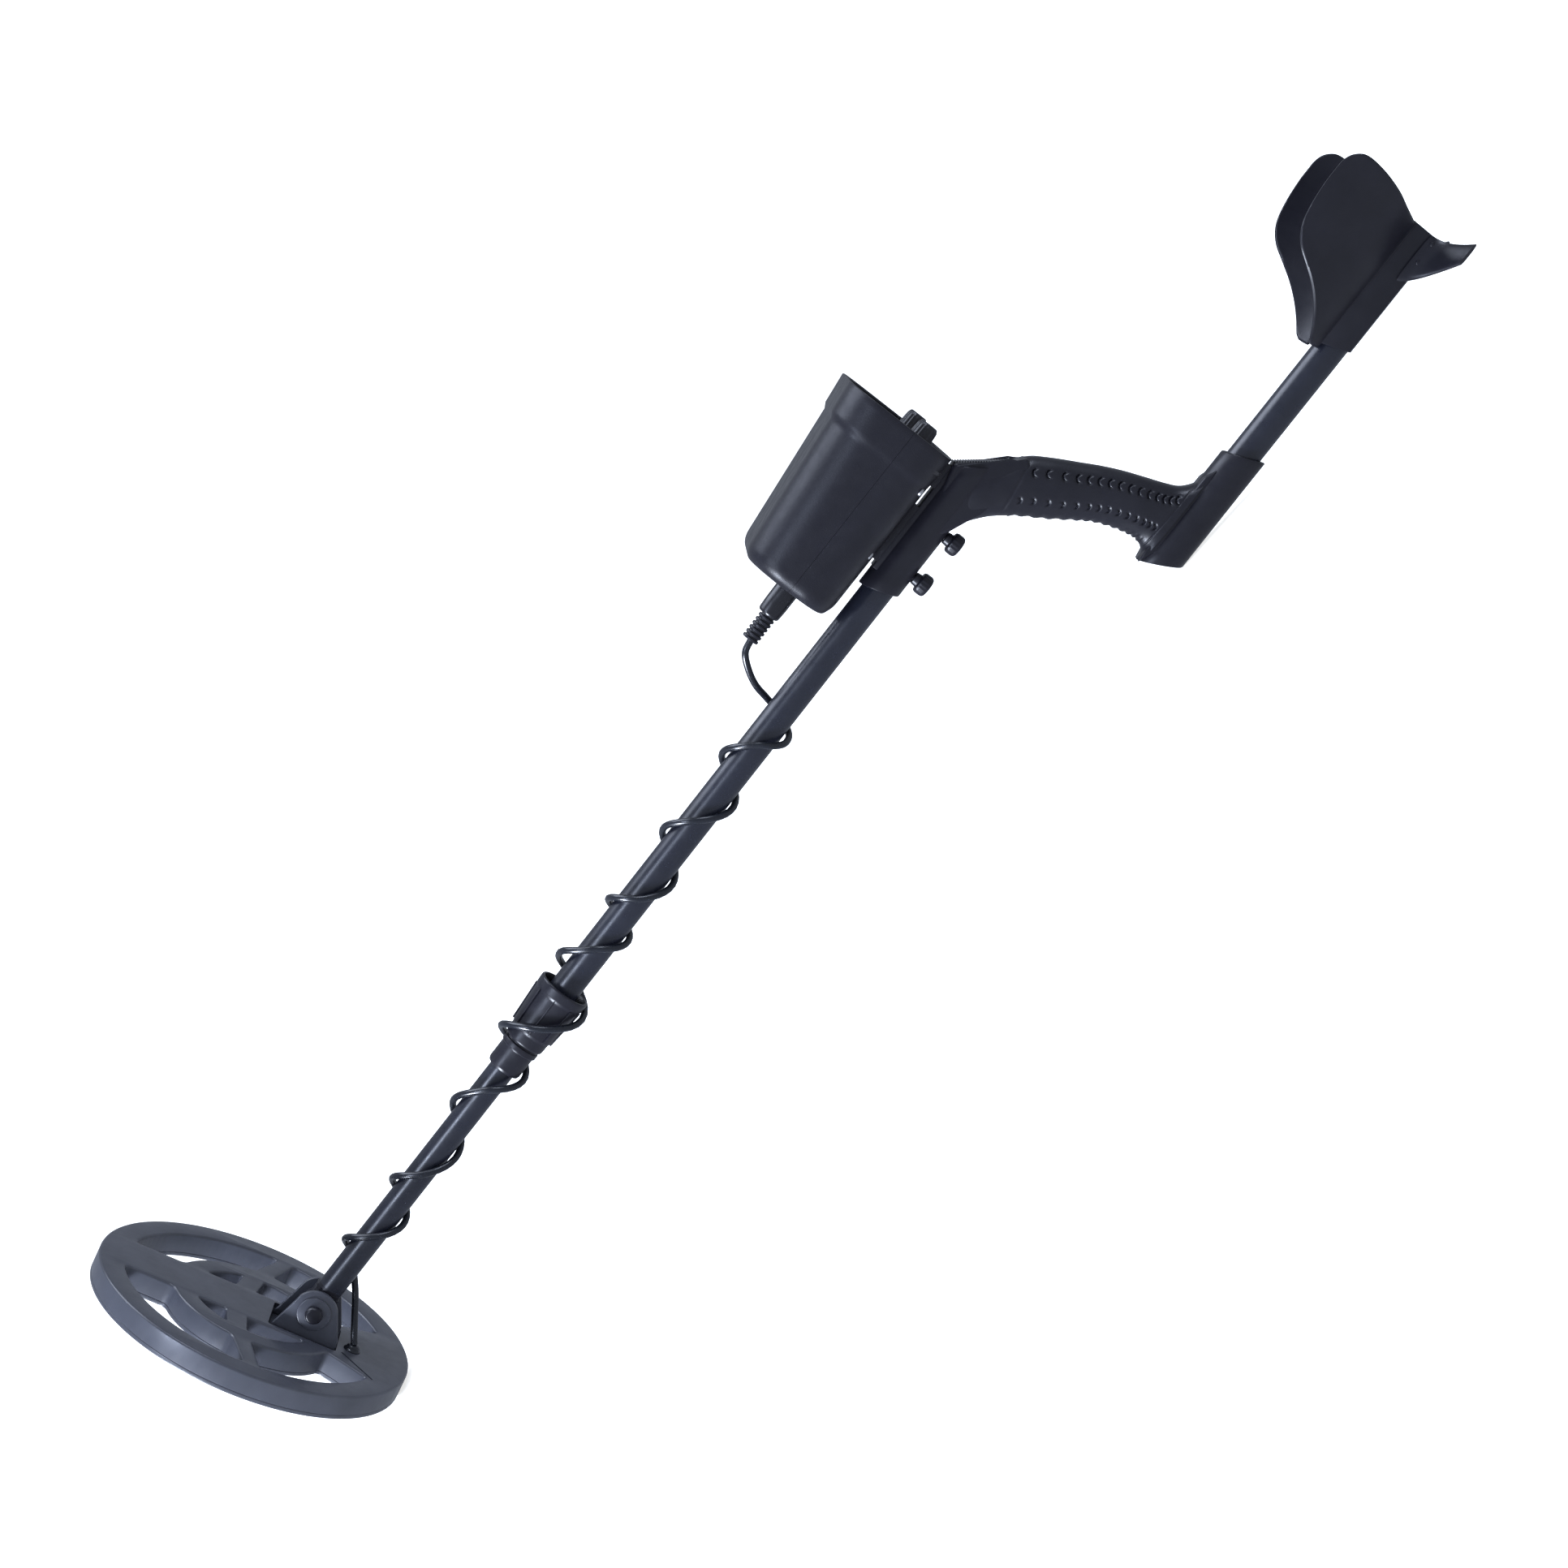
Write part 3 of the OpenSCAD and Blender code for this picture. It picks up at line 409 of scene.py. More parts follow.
# ---- Lead --------------------------------------------------------------------------------------
WRAPS = (512, 446, 376, 332, 262, 205, 127, 70, 16)
WRAP_RADIUS = ((30, 13.2), (190, 13.2), (225, 17.2), (250, 19.6), (262, 21), (282, 23), (298, 22),
               (310, 18), (328, 14.6), (560, 14.6))
ENTRY_ROUTE = ((564, 0, 47.5), (555, 0, 45), (547, 3, 36), (541, 7, 25), (538, 12, 13), (535, 15, 0),
               (531, 12, -9.3), (527, 3.7, -14.7), (522, -6.2, -13.9), (517, -13.1, -7.6))
TAIL_ROUTE = ((33, 12.5, -7), (22, 8, -17), (10, 2, -26), (0, -4, -33.5), (-5, -6, -37.5))
LAST_TURN = 7.45


def wrap_radius(x):
    """How far the lead's centre stands off the stem's axis at a place along it."""
    for (x0, r0), (x1, r1) in zip(WRAP_RADIUS, WRAP_RADIUS[1:]):
        if x <= x1:
            share = min(max((x - x0) / (x1 - x0), 0), 1)
            share = share * share * (3 - 2 * share)
            return r0 + (r1 - r0) * share
    return WRAP_RADIUS[-1][1]


def wrap_point(turn):
    """The lead's centre after a number of turns round the stem."""
    step = int(turn)
    share = turn - step
    x = WRAPS[step] * (1 - share) + WRAPS[step + 1] * share - 3 * math.sin(2 * math.pi * share)
    r = wrap_radius(x)
    angle = 2 * math.pi * turn
    return Vector((x, -r * math.cos(angle), r * math.sin(angle) + 0.4))


def make_lead():
    """The lead from the plug, round the stem and into the coil: a wound part and a tail, both built
    in place and riding on no body."""
    count = int(LAST_TURN * TURN_STEPS)
    wound = [wrap_point(LAST_TURN * i / count) for i in range(count + 1)]
    upper = smooth_line(list(ENTRY_ROUTE) + [wound[0], wound[3]], 6)[:-6] + wound[1:]
    upper = upper + smooth_line([wound[-2], wound[-1], TAIL_ROUTE[0]], 4)[5:]
    lower = smooth_line(TAIL_ROUTE, 6)
    bend_from = SHAFT @ Vector((225, 0, 0))
    bend_to = SHAFT @ Vector((45, 0, 0))
    tail_from, tail_to = SHAFT @ Vector(TAIL_ROUTE[0]), SHAFT @ Vector(TAIL_ROUTE[-1])
    for name, path, ends, nodes in (
            ("lead_wound", upper, ("handle", "lower_stem", bend_from, bend_to),
             ("cable_upper", "cable_lower")),
            ("lead_tail", lower, ("lower_stem", "coil", tail_from, tail_to), ("cable_tail",))):
        bm = bmesh.new()
        sweep(bm, path, LEAD_R, LEAD_SIDES)
        piece = finish_piece(name, bm, None, "cable_black", nodes, ride=False)
        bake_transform(piece)


# ---- Search coil -------------------------------------------------------------------------------
def arc(radius, start, end, steps=24):
    """Points of an arc about the coil's centre between two points of that circle."""
    a, b = math.atan2(start[1], start[0]), math.atan2(end[1], end[0])
    return [(radius * math.cos(a + (b - a) * i / steps), radius * math.sin(a + (b - a) * i / steps))
            for i in range(steps + 1)]


def on_circle(radius, base, direction, sign=1):
    """Where a line crosses a circle about the centre."""
    base, direction = Vector(base), Vector(direction).normalized()
    along = base.dot(direction)
    reach = math.sqrt(max(radius * radius - (base.length_squared - along * along), 0))
    return tuple(base + direction * (-along + sign * reach))


def rounded(sides, cut=4.5, steps=5):
    """Joins the sides of an opening and rounds the corners between them."""
    loop = []
    trimmed = []
    for side in sides:
        points = [Vector(p) for p in side]
        total = sum((b - a).length for a, b in zip(points, points[1:]))
        back = min(cut, total * 0.4)
        dense = [points[0]]
        for a, b in zip(points, points[1:]):
            dense += [a.lerp(b, i / 8) for i in range(1, 9)]
        run = 0
        kept = []
        for a, b in zip(dense, dense[1:]):
            length = (b - a).length
            if run <= back < run + length:
                kept.append(a.lerp(b, (back - run) / length))
            if back < run + length < total - back:
                kept.append(b)
            if run < total - back <= run + length:
                kept.append(a.lerp(b, (total - back - run) / length))
            run += length
        trimmed.append(kept)
    corners = [Vector(side[-1]) for side in sides]
    for side, following, corner in zip(trimmed, trimmed[1:] + trimmed[:1], corners):
        loop += side
        start, end = side[-1], following[0]
        for i in range(1, steps):
            t = i / steps
            loop.append(start * (1 - t) ** 2 + corner * 2 * t * (1 - t) + end * t * t)
    return [tuple(p) for p in loop]


def coil_openings():
    """The openings of one half of the coil."""
    line_front = ((-10, 61), (0.38, 1))
    line_rear = ((5, 62), (0.314, 1))
    line_gland = ((60, 28), (1, 0.4746))
    bar_in = (-math.sqrt(HUB_OUT ** 2 - BAR ** 2), BAR)
    bar_out = (-math.sqrt(RIM_IN ** 2 - BAR ** 2), BAR)
    front_in = on_circle(HUB_OUT, *line_front)
    front_out = on_circle(RIM_IN, *line_front)
    front = rounded([[bar_in, bar_out], arc(RIM_IN, bar_out, front_out), [front_out, front_in],
                     arc(HUB_OUT, front_in, bar_in)])
    rear_in, rear_out = on_circle(HUB_OUT, *line_rear), on_circle(RIM_IN, *line_rear)
    gland_in, gland_out = on_circle(HUB_OUT, *line_gland), on_circle(RIM_IN, *line_gland)
    rear = rounded([[rear_in, rear_out], arc(RIM_IN, rear_out, gland_out), [gland_out, gland_in],
                    arc(HUB_OUT, gland_in, rear_in)], 3.5)
    wedge_a = (-19, 24)
    wedge_b = on_circle(HUB_IN, wedge_a, (0.146, 1))
    wedge_c = (-math.sqrt(HUB_IN ** 2 - 24 ** 2), 24)
    wedge = rounded([[wedge_a, wedge_b], arc(HUB_IN, wedge_b, wedge_c, 10), [wedge_c, wedge_a]], 2.5)
    slot_a = (-3, 24.5)
    slot_b = on_circle(HUB_IN, slot_a, (0.136, 1))
    slot_c = (38, math.sqrt(HUB_IN ** 2 - 38 ** 2))
    slot = rounded([[slot_a, slot_b], arc(HUB_IN, slot_b, slot_c, 14), [slot_c, (38, 24.5)],
                    [(38, 24.5), slot_a]], 1.8)
    return [front, rear, wedge, slot]


def coil_loops():
    """The disc's rim and its openings on both sides."""
    sides = 160
    turns = (2 * math.pi * i / sides for i in range(sides))
    outer = [(COIL_R * math.cos(a), COIL_R * math.sin(a)) for a in turns]
    near = coil_openings()
    return [outer] + near + [[(x, -y) for x, y in loop] for loop in near]


def make_coil():
    """The moulded shell with its ears and the flat cover below it."""
    shell = outline_solid("coil_shell_shape", coil_loops(), -COIL_T - 6, 0, 1.9)
    cut_flat(shell, (0, 0, -COIL_T + COVER_T + 0.15), (0, 0, -1))
    pocket = bmesh.new()
    bevelled_box(pocket, (11.5, -20.2, -5.2), (63, 20.2, 6), 2.2, 3)
    groove = bmesh.new()
    bevelled_box(groove, (-4, -0.8, -1.4), (32, 0.8, 1), 0.3, 1)
    groove.transform(Matrix.Translation((70, -20, 0)) @ Matrix.Rotation(math.radians(-43.5), 4, "Z"))
    pocket.from_mesh(as_mesh(groove))
    shell = cut_with(shell, pocket)
    finish_piece("coil_shell_skin", shell, "coil", "coil_plastic", ("coil_shell",), COIL, 32)
    cover = outline_solid("coil_cover_shape", coil_loops(), -COIL_T, -COIL_T + COVER_T, 0.5)
    finish_piece("coil_cover_skin", cover, "coil", "coil_plastic", ("coil_base",), COIL, 32)
    for side, place in ((-1, "near"), (1, "far")):
        ear = outline_solid("ear_shape", [ear_outline()], 12, 15.5, 0.7)
        bm = bmesh.new()
        bm.from_mesh(as_mesh(ear))
        bm.transform(Matrix.Rotation(math.pi / 2, 4, "X"))
        if side > 0:
            bm.transform(Matrix.Scale(-1, 4, (0, 1, 0)))
        finish_piece("coil_ear_" + place, bm, "coil", "coil_plastic", (), COIL, 32)
        boss = bmesh.new()
        inner, outer = 15.3 * side, 16.9 * side
        lathe(boss, eased([(inner, 0), (inner, BOSS_R), (outer, BOSS_R), (outer, 0)], 0.5),
              (PIVOT_BACK, 0, PIVOT_ABOVE), "y")
        finish_piece("coil_boss_" + place, boss, "coil", "coil_plastic", (), COIL)
    gland = bmesh.new()
    collar = [(-0.5, 0), (-0.5, 6.2), (0.8, 6.2), (1.6, 5), (3.4, 4.4), (4.2, 3.2), (4.2, 0)]
    lathe(gland, eased(collar, 0.5), GLAND_AT, "z")
    finish_piece("gland_collar", gland, "coil", "cable_black", ("coil_gland",), COIL)


def as_mesh(bm):
    """A bmesh as a mesh that another bmesh can take in."""
    mesh = bpy.data.meshes.new("shape")
    bm.to_mesh(mesh)
    bm.free()
    return mesh


def ear_outline():
    """Side view of an ear: a round top on a wide foot that reaches into the pocket."""
    top = [(PIVOT_BACK + EAR_R * math.cos(a), PIVOT_ABOVE + EAR_R * math.sin(a))
           for a in (math.radians(20 + 130 * i / 20) for i in range(21))]
    foot = [(23.5, 23), (14.5, 0), (12, -5), (62.5, -5), (61.8, 5)]
    return top + foot


# ---- Pivot and lock ----------------------------------------------------------------------------
def make_pivot():
    """The pivot bolt's round head and shank."""
    bm = bmesh.new()
    lathe(bm, eased([(-17, 0), (-17, 6.4), (-19.5, 6.4), (-21.6, 5), (-22.2, 0)], 0.8), axis="y")
    lathe(bm, eased([(-17.2, 0), (-17.2, 4), (24.5, 4), (24.5, 0)], 0.5), axis="y")
    finish_piece("bolt_skin", bm, "coil", "black_plastic", ("pivot_bolt",))


def make_lock():
    """The locking nut: a flared skirt, open towards the handle, with long ridges."""
    x0, x1 = NUT_X, NUT_X + NUT_LENGTH
    outer = [(x0, 13.1), (x0, 14.4), (x0 + 1.2, 14.9), (x0 + 8, 15.2), (x0 + 10, 15.9), (x1 - 9, 18.2),
             (x1 - 7, 19), (x1 - 1, 19.3), (x1, 18.7), (x1, 17.3), (x1 - 3, 16.7), (x0 + 11, 13.2),
             (x0, 13.1)]
    bm = bmesh.new()
    turned_shell(bm, eased(outer, 0.6)[:-1], 72)
    for i in range(8):
        turn = Matrix.Rotation(math.radians(81.5 + 45 * i), 4, "X")
        fin = bmesh.new()
        bevelled_box(fin, (0, -1.2, -0.45), (31, 1, 0.45), 0.25)
        flare = Matrix.Rotation(math.radians(4.4), 4, "Z")
        fin.transform(turn @ Matrix.Translation((x0 + 9, 16, 0)) @ flare)
        bm.from_mesh(as_mesh(fin))
    finish_piece("lock_nut_skin", bm, "lock_nut", "black_plastic", ("lock_nut",))
    sleeve = bmesh.new()
    profile = [(220, 9.9), (220, 12), (222, 12.8), (237.5, 12.8), (238, 13.9), (242, 13.9),
               (242.4, 12.8), (253.6, 12.8), (254, 12.4), (254, 11), (236, 11), (236, 9.9), (220, 9.9)]
    turned_shell(sleeve, eased(profile, 0.4)[:-1], 64)
    finish_piece("lock_sleeve", sleeve, "handle", "black_plastic", ("lock_body",))


# ---- Handle ------------------------------------------------------------------------------------
# Cross sections of the grip: finger side, palm side and half width
GRIP = (((706, -7), (748, 2), 9.5), ((714, -16), (757, -6), 12.8),
        ((722, -22), (764, -15), 13.6), ((731, -30), (777.2, -23.4), 14.2),
        ((742, -44), (786, -36), 14.4), ((752, -60), (797, -56), 14.4),
        ((763, -76), (804, -69), 14.3), ((770, -87), (810.5, -83), 14.2),
        ((775, -99), (816, -97), 14.2), ((778, -110), (821, -110), 14.2),
        ((778.8, -118), (826, -119.5), 14.2), ((776, -124.5), (835, -126.5), 14.4),
        ((768, -129), (846, -130), 14.4))


def grip_section(t):
    """Finger point, palm point and half width at a share of the grip's length."""
    place = t * (len(GRIP) - 1)
    k = min(int(place), len(GRIP) - 2)
    share = place - k

    def blend4(values):
        a, b, c, d = values
        return 0.5 * (2 * b + (c - a) * share + (2 * a - 5 * b + 4 * c - d) * share ** 2
                      + (3 * b - 3 * c + d - a) * share ** 3)

    rows = [GRIP[min(max(k + i, 0), len(GRIP) - 1)] for i in (-1, 0, 1, 2)]
    finger = Vector([blend4([row[0][i] for row in rows]) for i in range(2)])
    palm = Vector([blend4([row[1][i] for row in rows]) for i in range(2)])
    return finger, palm, blend4([row[2] for row in rows])


def grip_dents():
    """Places, radii, depths and facing of the dents: a row near the palm, one near the fingers."""
    palm_row = [(0.315 + 0.0405 * i, 0.5, 2.9, 1.8, -1) for i in range(15)]
    finger_row = [(0.3 + 0.042 * i, -0.42, 2.0, 1.4, 1) for i in range(14)]
    return palm_row + finger_row


def make_grip():
    """The rubber grip: a swept skin with curved dents in both cheeks and a scalloped finger edge."""
    rings, sides = 320, 192
    dents = []
    for t, u, radius, depth, facing in grip_dents():
        finger, palm, half = grip_section(t)
        ahead = (sum(grip_section(t + 0.01)[:2], Vector((0, 0))) - finger - palm).normalized()
        dents.append((t, (finger + palm) / 2 + (palm - finger) / 2 * u, radius, depth, ahead * facing))
    rows = []
    for k in range(rings + 1):
        t = k / rings
        finger, palm, half = grip_section(t)
        middle, reach = (finger + palm) / 2, (palm - finger) / 2
        lip = math.exp(-((t - 0.27) / 0.006) ** 2) + math.exp(-((t - 0.9) / 0.006) ** 2)
        wave = 0.5 * math.sin(2 * math.pi * 24 * t) if 0.3 < t < 0.86 else 0
        close = [dent for dent in dents if abs(dent[0] - t) < 0.05]
        ring = []
        for i in range(sides):
            a = 2 * math.pi * i / sides
            u = math.copysign(abs(math.cos(a)) ** 0.86, math.cos(a))
            v = math.copysign(abs(math.sin(a)) ** 0.86, math.sin(a))
            flat = middle + reach * u
            push = 0.4 * lip
            for _, spot, radius, depth, facing in close:
                gap = flat - spot
                arm = gap.length
                if 0 < arm < 2 * radius:
                    side = min(max(gap.dot(facing) / arm + 0.4, 0), 1)
                    push += side * depth * math.exp(-((arm - radius) / 0.6) ** 2)
            if u < -0.8:
                flat = flat - reach.normalized() * wave * (-u - 0.8) / 0.2
            ring.append((flat.x, half * v - math.copysign(min(push, abs(half * v)), v), flat.y))
        rows.append(ring)
    bm = bmesh.new()
    loft(bm, rows)
    finish_piece("grip_skin", bm, "handle", "grip_rubber", ("grip_overmould",), crease=50)


def slanted_sleeve(bm, radius, bore, top, low, axis_z, sides=64):
    """A round sleeve whose two ends are cut at a slant: top and low are its ends at the top and
    bottom of the circle."""
    def ring(r, end, inset):
        points = []
        for i in range(sides):
            a = 2 * math.pi * i / sides
            z = r * math.sin(a)
            share = (1 - z / radius) / 2
            x = top[end] * (1 - share) + low[end] * share
            points.append((x + (inset if end == 0 else -inset), r * math.cos(a), axis_z + z))
        return points

    edge = 1.0
    rings = [ring(bore, 0, 0.2), ring(radius - edge, 0, 0), ring(radius - edge * 0.3, 0, edge * 0.3),
             ring(radius, 0, edge)]
    steps = 12
    first, last = ring(radius, 0, edge), ring(radius, 1, edge)
    for k in range(1, steps):
        t = k / steps
        rings.append([tuple(Vector(a).lerp(Vector(b), t)) for a, b in zip(first, last)])
    rings += [last, ring(radius - edge * 0.3, 1, edge * 0.3), ring(radius - edge, 1, 0),
              ring(bore, 1, 0.2)]
    loft(bm, rings + [rings[0]], False, False)


def make_handle_frame():
    """Front and rear sleeves with slanted ends, and the neck that blends into the grip."""
    front = bmesh.new()
    slanted_sleeve(front, SLEEVE_R, TUBE_R, (640.5, 742), (649, 760), 0)
    bevelled_box(front, (655, -9.5, 8), (741, 9.5, 14), 0.8)
    finish_piece("front_sleeve", front, "handle", "black_plastic", ("handle_frame",))
    rear = bmesh.new()
    slanted_sleeve(rear, SLEEVE_R + 0.4, TUBE_R, (768, 862), (783, 873), -REAR_DROP)
    finish_piece("rear_sleeve", rear, "handle", "black_plastic")
    fork = bmesh.new()
    web = [(768, -127.5), (776, -126), (840, -127), (850, -131), (790, -137)]
    loft(fork, [[(x, y, z) for x, z in web] for y in (-11, 11)])
    bmesh.ops.bevel(fork, geom=list(fork.edges), offset=1.5, segments=3, affect="EDGES", profile=0.5)
    finish_piece("rear_web", fork, "handle", "black_plastic")
    neck = bmesh.new()
    side_view = [(690, 0), (741, 13.6), (744.5, 13.4), (768, -17), (777.5, -24), (770, -33), (728, -22),
                 (704, -12)]
    loft(neck, [[(x, y, z) for x, z in side_view] for y in (-12, 12)])
    bmesh.ops.bevel(neck, geom=list(neck.edges), offset=2.5, segments=4, affect="EDGES", profile=0.5)
    finish_piece("neck", neck, "handle", "black_plastic")


def make_thumb_rest():
    """The strip of fine teeth above the grip."""
    head, foot = Vector((743.8, 14.2)), Vector((768.4, -17.4))
    teeth = 22
    step = (foot - head) / teeth
    out = Vector((-step.y, step.x)).normalized()
    line = []
    for i in range(teeth):
        line.append(head + step * i)
        line.append(head + step * (i + 0.5) + out * 0.9)
    line.append(foot)
    outline = line + [foot - out * 1.5, head - out * 1.5]
    bm = bmesh.new()
    loft(bm, [[(p.x, y, p.y) for p in outline] for y in (-7.5, 7.5)])
    finish_piece("thumb_strip", bm, "handle", "grip_rubber", ("thumb_rest",), crease=20)


def make_thumb_screws():
    """Two screws with broad fluted heads under the front sleeve."""
    profile = eased([(-27, 0), (-27, 6), (-26.2, 7.2), (-24.6, 7.8), (-20.4, 7.8), (-18.8, 7.1),
                     (-18.3, 4.8), (-14.3, 4.4), (-14.3, 2.9), (24, 2.9), (24, 0)], 0.5)

    def flute(turn, along):
        inside = -25.5 < along < -19.5
        return 1 - (0.035 * (1 - math.cos(16 * turn)) / 2 if inside else 0)

    for name, x in zip(("front_thumb_screw", "rear_thumb_screw"), SCREW_X):
        bm = bmesh.new()
        lathe(bm, profile, (x, 0, 0), "z", 96, flute)
        finish_piece(name + "_skin", bm, name, "black_plastic", (name,))


# ---- Control housing ---------------------------------------------------------------------------
def rounded_ring(x, half, low, high, radius, corner=14, flat=10):
    """A rounded rectangle in the yz plane, always with the same number of points."""
    radius = min(radius, half - 0.1, (high - low) / 2 - 0.1)
    centres = ((half - radius, high - radius, 0), (-half + radius, high - radius, 90),
               (-half + radius, low + radius, 180), (half - radius, low + radius, 270))
    ring = []
    for y, z, start in centres:
        for i in range(corner + 1):
            a = math.radians(start + 90 * i / corner)
            ring.append(Vector((x, y + radius * math.cos(a), z + radius * math.sin(a))))
    full = []
    for k, (a, b) in enumerate(zip(ring, ring[1:] + ring[:1])):
        full.append(a)
        if (k + 1) % (corner + 1) == 0:
            full += [a.lerp(b, i / flat) for i in range(1, flat)]
    return full


def shell_ring(x, grow=0.0):
    """The housing's outer form at a distance along the stem, smaller when grow is negative. Its
    front edge is rounded and its bottom slopes down a little to the middle."""
    def between(stations):
        for a, b in zip(stations, stations[1:]):
            if x <= b[0]:
                share = (x - a[0]) / (b[0] - a[0])
                return [p + (q - p) * share for p, q in zip(a[1:], b[1:])]
        return list(stations[-1][1:])

    half, low, high, radius = between(((610, 61, 16.5, 90.6, 28), (718, 66.6, 16, 101.2, 30),
                                       (722, 67.3, 15.6, 103.4, 30), (745, 68, 15, 106, 30)))
    inset = 0
    if x < SHELL_FRONT + NOSE:
        depth = (SHELL_FRONT + NOSE - x) / NOSE
        inset = 9.5 * (1 - math.sqrt(max(1 - depth ** 2.6, 0)))
    ring = rounded_ring(x, half + grow - inset, low - grow + inset * 0.5, high + grow - inset * 0.62,
                        max(radius + grow - inset * 0.4, 2))
    middle = (low + high) / 2
    for point in ring:
        if point.z < middle:
            lower = (middle - point.z) / (middle - low)
            point.z += CROWN * lower * min(abs(point.y) / CROWN_HALF, 1)
    return ring


def make_housing():
    """The two half shells, cut apart at a fine seam, with their feet and recessed screws."""
    outer_x = [SHELL_FRONT + NOSE * (i / 12) ** 1.7 for i in range(13)]
    outer_x += [632, 650, 670, 690, 706, 716, 718, 720, 722, 724, 732, 740, SHELL_REAR]
    rings = [shell_ring(x) for x in outer_x]
    for grow, ahead in ((-0.3, 0.7), (-1.2, 1)):
        rings.append([p + Vector((ahead, 0, 0)) for p in shell_ring(SHELL_REAR, grow)])
    inner = [shell_ring(x, -WALL) for x in (SHELL_REAR, 740, 732, 722, 716, 690, 650, 632)]
    inner += [[Vector((612.6, p.y, p.z)) for p in shell_ring(SHELL_FRONT + NOSE, -WALL - 6)]]
    for name, keep, node in (("housing_top_skin", 1, "housing_top"),
                             ("housing_bottom_skin", -1, "housing_bottom")):
        bm = bmesh.new()
        loft(bm, rings + inner)
        cut_flat(bm, (0, 0, SEAM_Z + 0.1 * keep), (0, 0, -keep))
        bm = cut_with(bm, housing_cuts(keep))
        finish_piece(name, bm, "handle", "housing_plastic", (node,), crease=30)
    pads = bmesh.new()
    bevelled_box(pads, (660, -10, 13.6), (706, 10, 18.5), 0.4)
    bevelled_box(pads, (722, -10, 13.6), (741, 10, 18), 0.4)
    finish_piece("housing_feet", pads, "handle", "housing_plastic")
    screws = bmesh.new()
    screw = eased([(23.2, 0), (23.2, 2.3), (24, 3), (25.6, 3), (25.6, 1.3), (58, 1.3), (58, 0)], 0.3)
    for x, y in HOUSING_SCREWS:
        lathe(screws, screw, (x, y, 0), "z", 24)
    finish_piece("housing_screw_skins", screws, "handle", "steel", ("housing_screws",))


def housing_cuts(keep):
    """Battery hatch, plug hole, speaker slots, screw holes and socket hole."""
    bm = bmesh.new()
    bevelled_box(bm, (605, 15.5, 27), (613.2, 43, 78), 0.6)
    lathe(bm, [(600, 8.3), (616, 8.3)], (0, 0, PLUG_Z), "x", 48)
    if keep < 0:
        for row in range(5):
            bevelled_box(bm, (620 + row * 7, -34, 8), (623 + row * 7, -18, 26), 0.5)
        for x, y in HOUSING_SCREWS:
            lathe(bm, [(8, 3.2), (25, 3.2)], (x, y, 0), "z", 24)
        for x in SCREW_X:
            lathe(bm, [(8, 3.1), (22, 3.1)], (x, 0, 0), "z", 24)
        lathe(bm, [(50, 4.8), (80, 4.8)], (704, 0, 47), "y", 32)
    return bm


def make_knobs():
    """Two control knobs: fluted, tapered and rounded, with a pointer groove."""
    profile = eased([(734.5, 0), (734.5, 9.4), (737.5, 9.4), (738.6, 8.7), (752, 7.7), (754.5, 6.2),
                     (754.6, 0)], 0.9)

    def flute(turn, along):
        if not 738.6 < along < 753:
            return 1
        groove = 0.1 * math.exp(-((math.sin((turn - math.pi / 2) / 2)) / 0.08) ** 2)
        return 1 - 0.045 * (1 - math.cos(18 * turn)) / 2 - groove

    for name, y in (("sensitivity_knob", -KNOB_Y), ("discrimination_knob", KNOB_Y)):
        bm = bmesh.new()
        lathe(bm, profile, (0, y, KNOB_Z), "x", 144, flute)
        finish_piece(name + "_skin", bm, name, "knob_plastic", (name,))


def make_panel_marks():
    """Rings of dots round both knobs and a frame round the meter window."""
    bm = bmesh.new()
    for y in (-KNOB_Y, KNOB_Y):
        for i in range(11):
            a = math.radians(-50 + 28 * i)
            lathe(bm, [(PANEL_X + 2.4, 0.7), (PANEL_X + 2.8, 0.7)],
                  (0, y + 13 * math.cos(a), KNOB_Z + 13 * math.sin(a)), "x", 12)
    finish_piece("panel_dots", bm, "handle", "switch_grey")
    bezel = bmesh.new()
    for low, high in (((-33, 63), (33, 65.2)), ((-33, 94.8), (33, 97)), ((-33, 63), (-30, 97)),
                      ((30, 63), (33, 97))):
        bevelled_box(bezel, (PANEL_X + 2.3, low[0], low[1]), (PANEL_X + 3.8, high[0], high[1]), 0.4)
    finish_piece("meter_bezel", bezel, "handle", "panel_plastic")
    ticks = bmesh.new()
    for i in range(11):
        a = math.radians(50 + 8 * i)
        mark = bmesh.new()
        bevelled_box(mark, (0, -0.3, 20), (0.25, 0.3, 24 if i % 5 == 0 else 22.5), 0.05, 1)
        mark.transform(Matrix.Translation((723.2, 0, 68)) @ Matrix.Rotation(a - math.pi / 2, 4, "X"))
        ticks.from_mesh(as_mesh(mark))
    finish_piece("dial_ticks", ticks, "handle", "black_plastic")


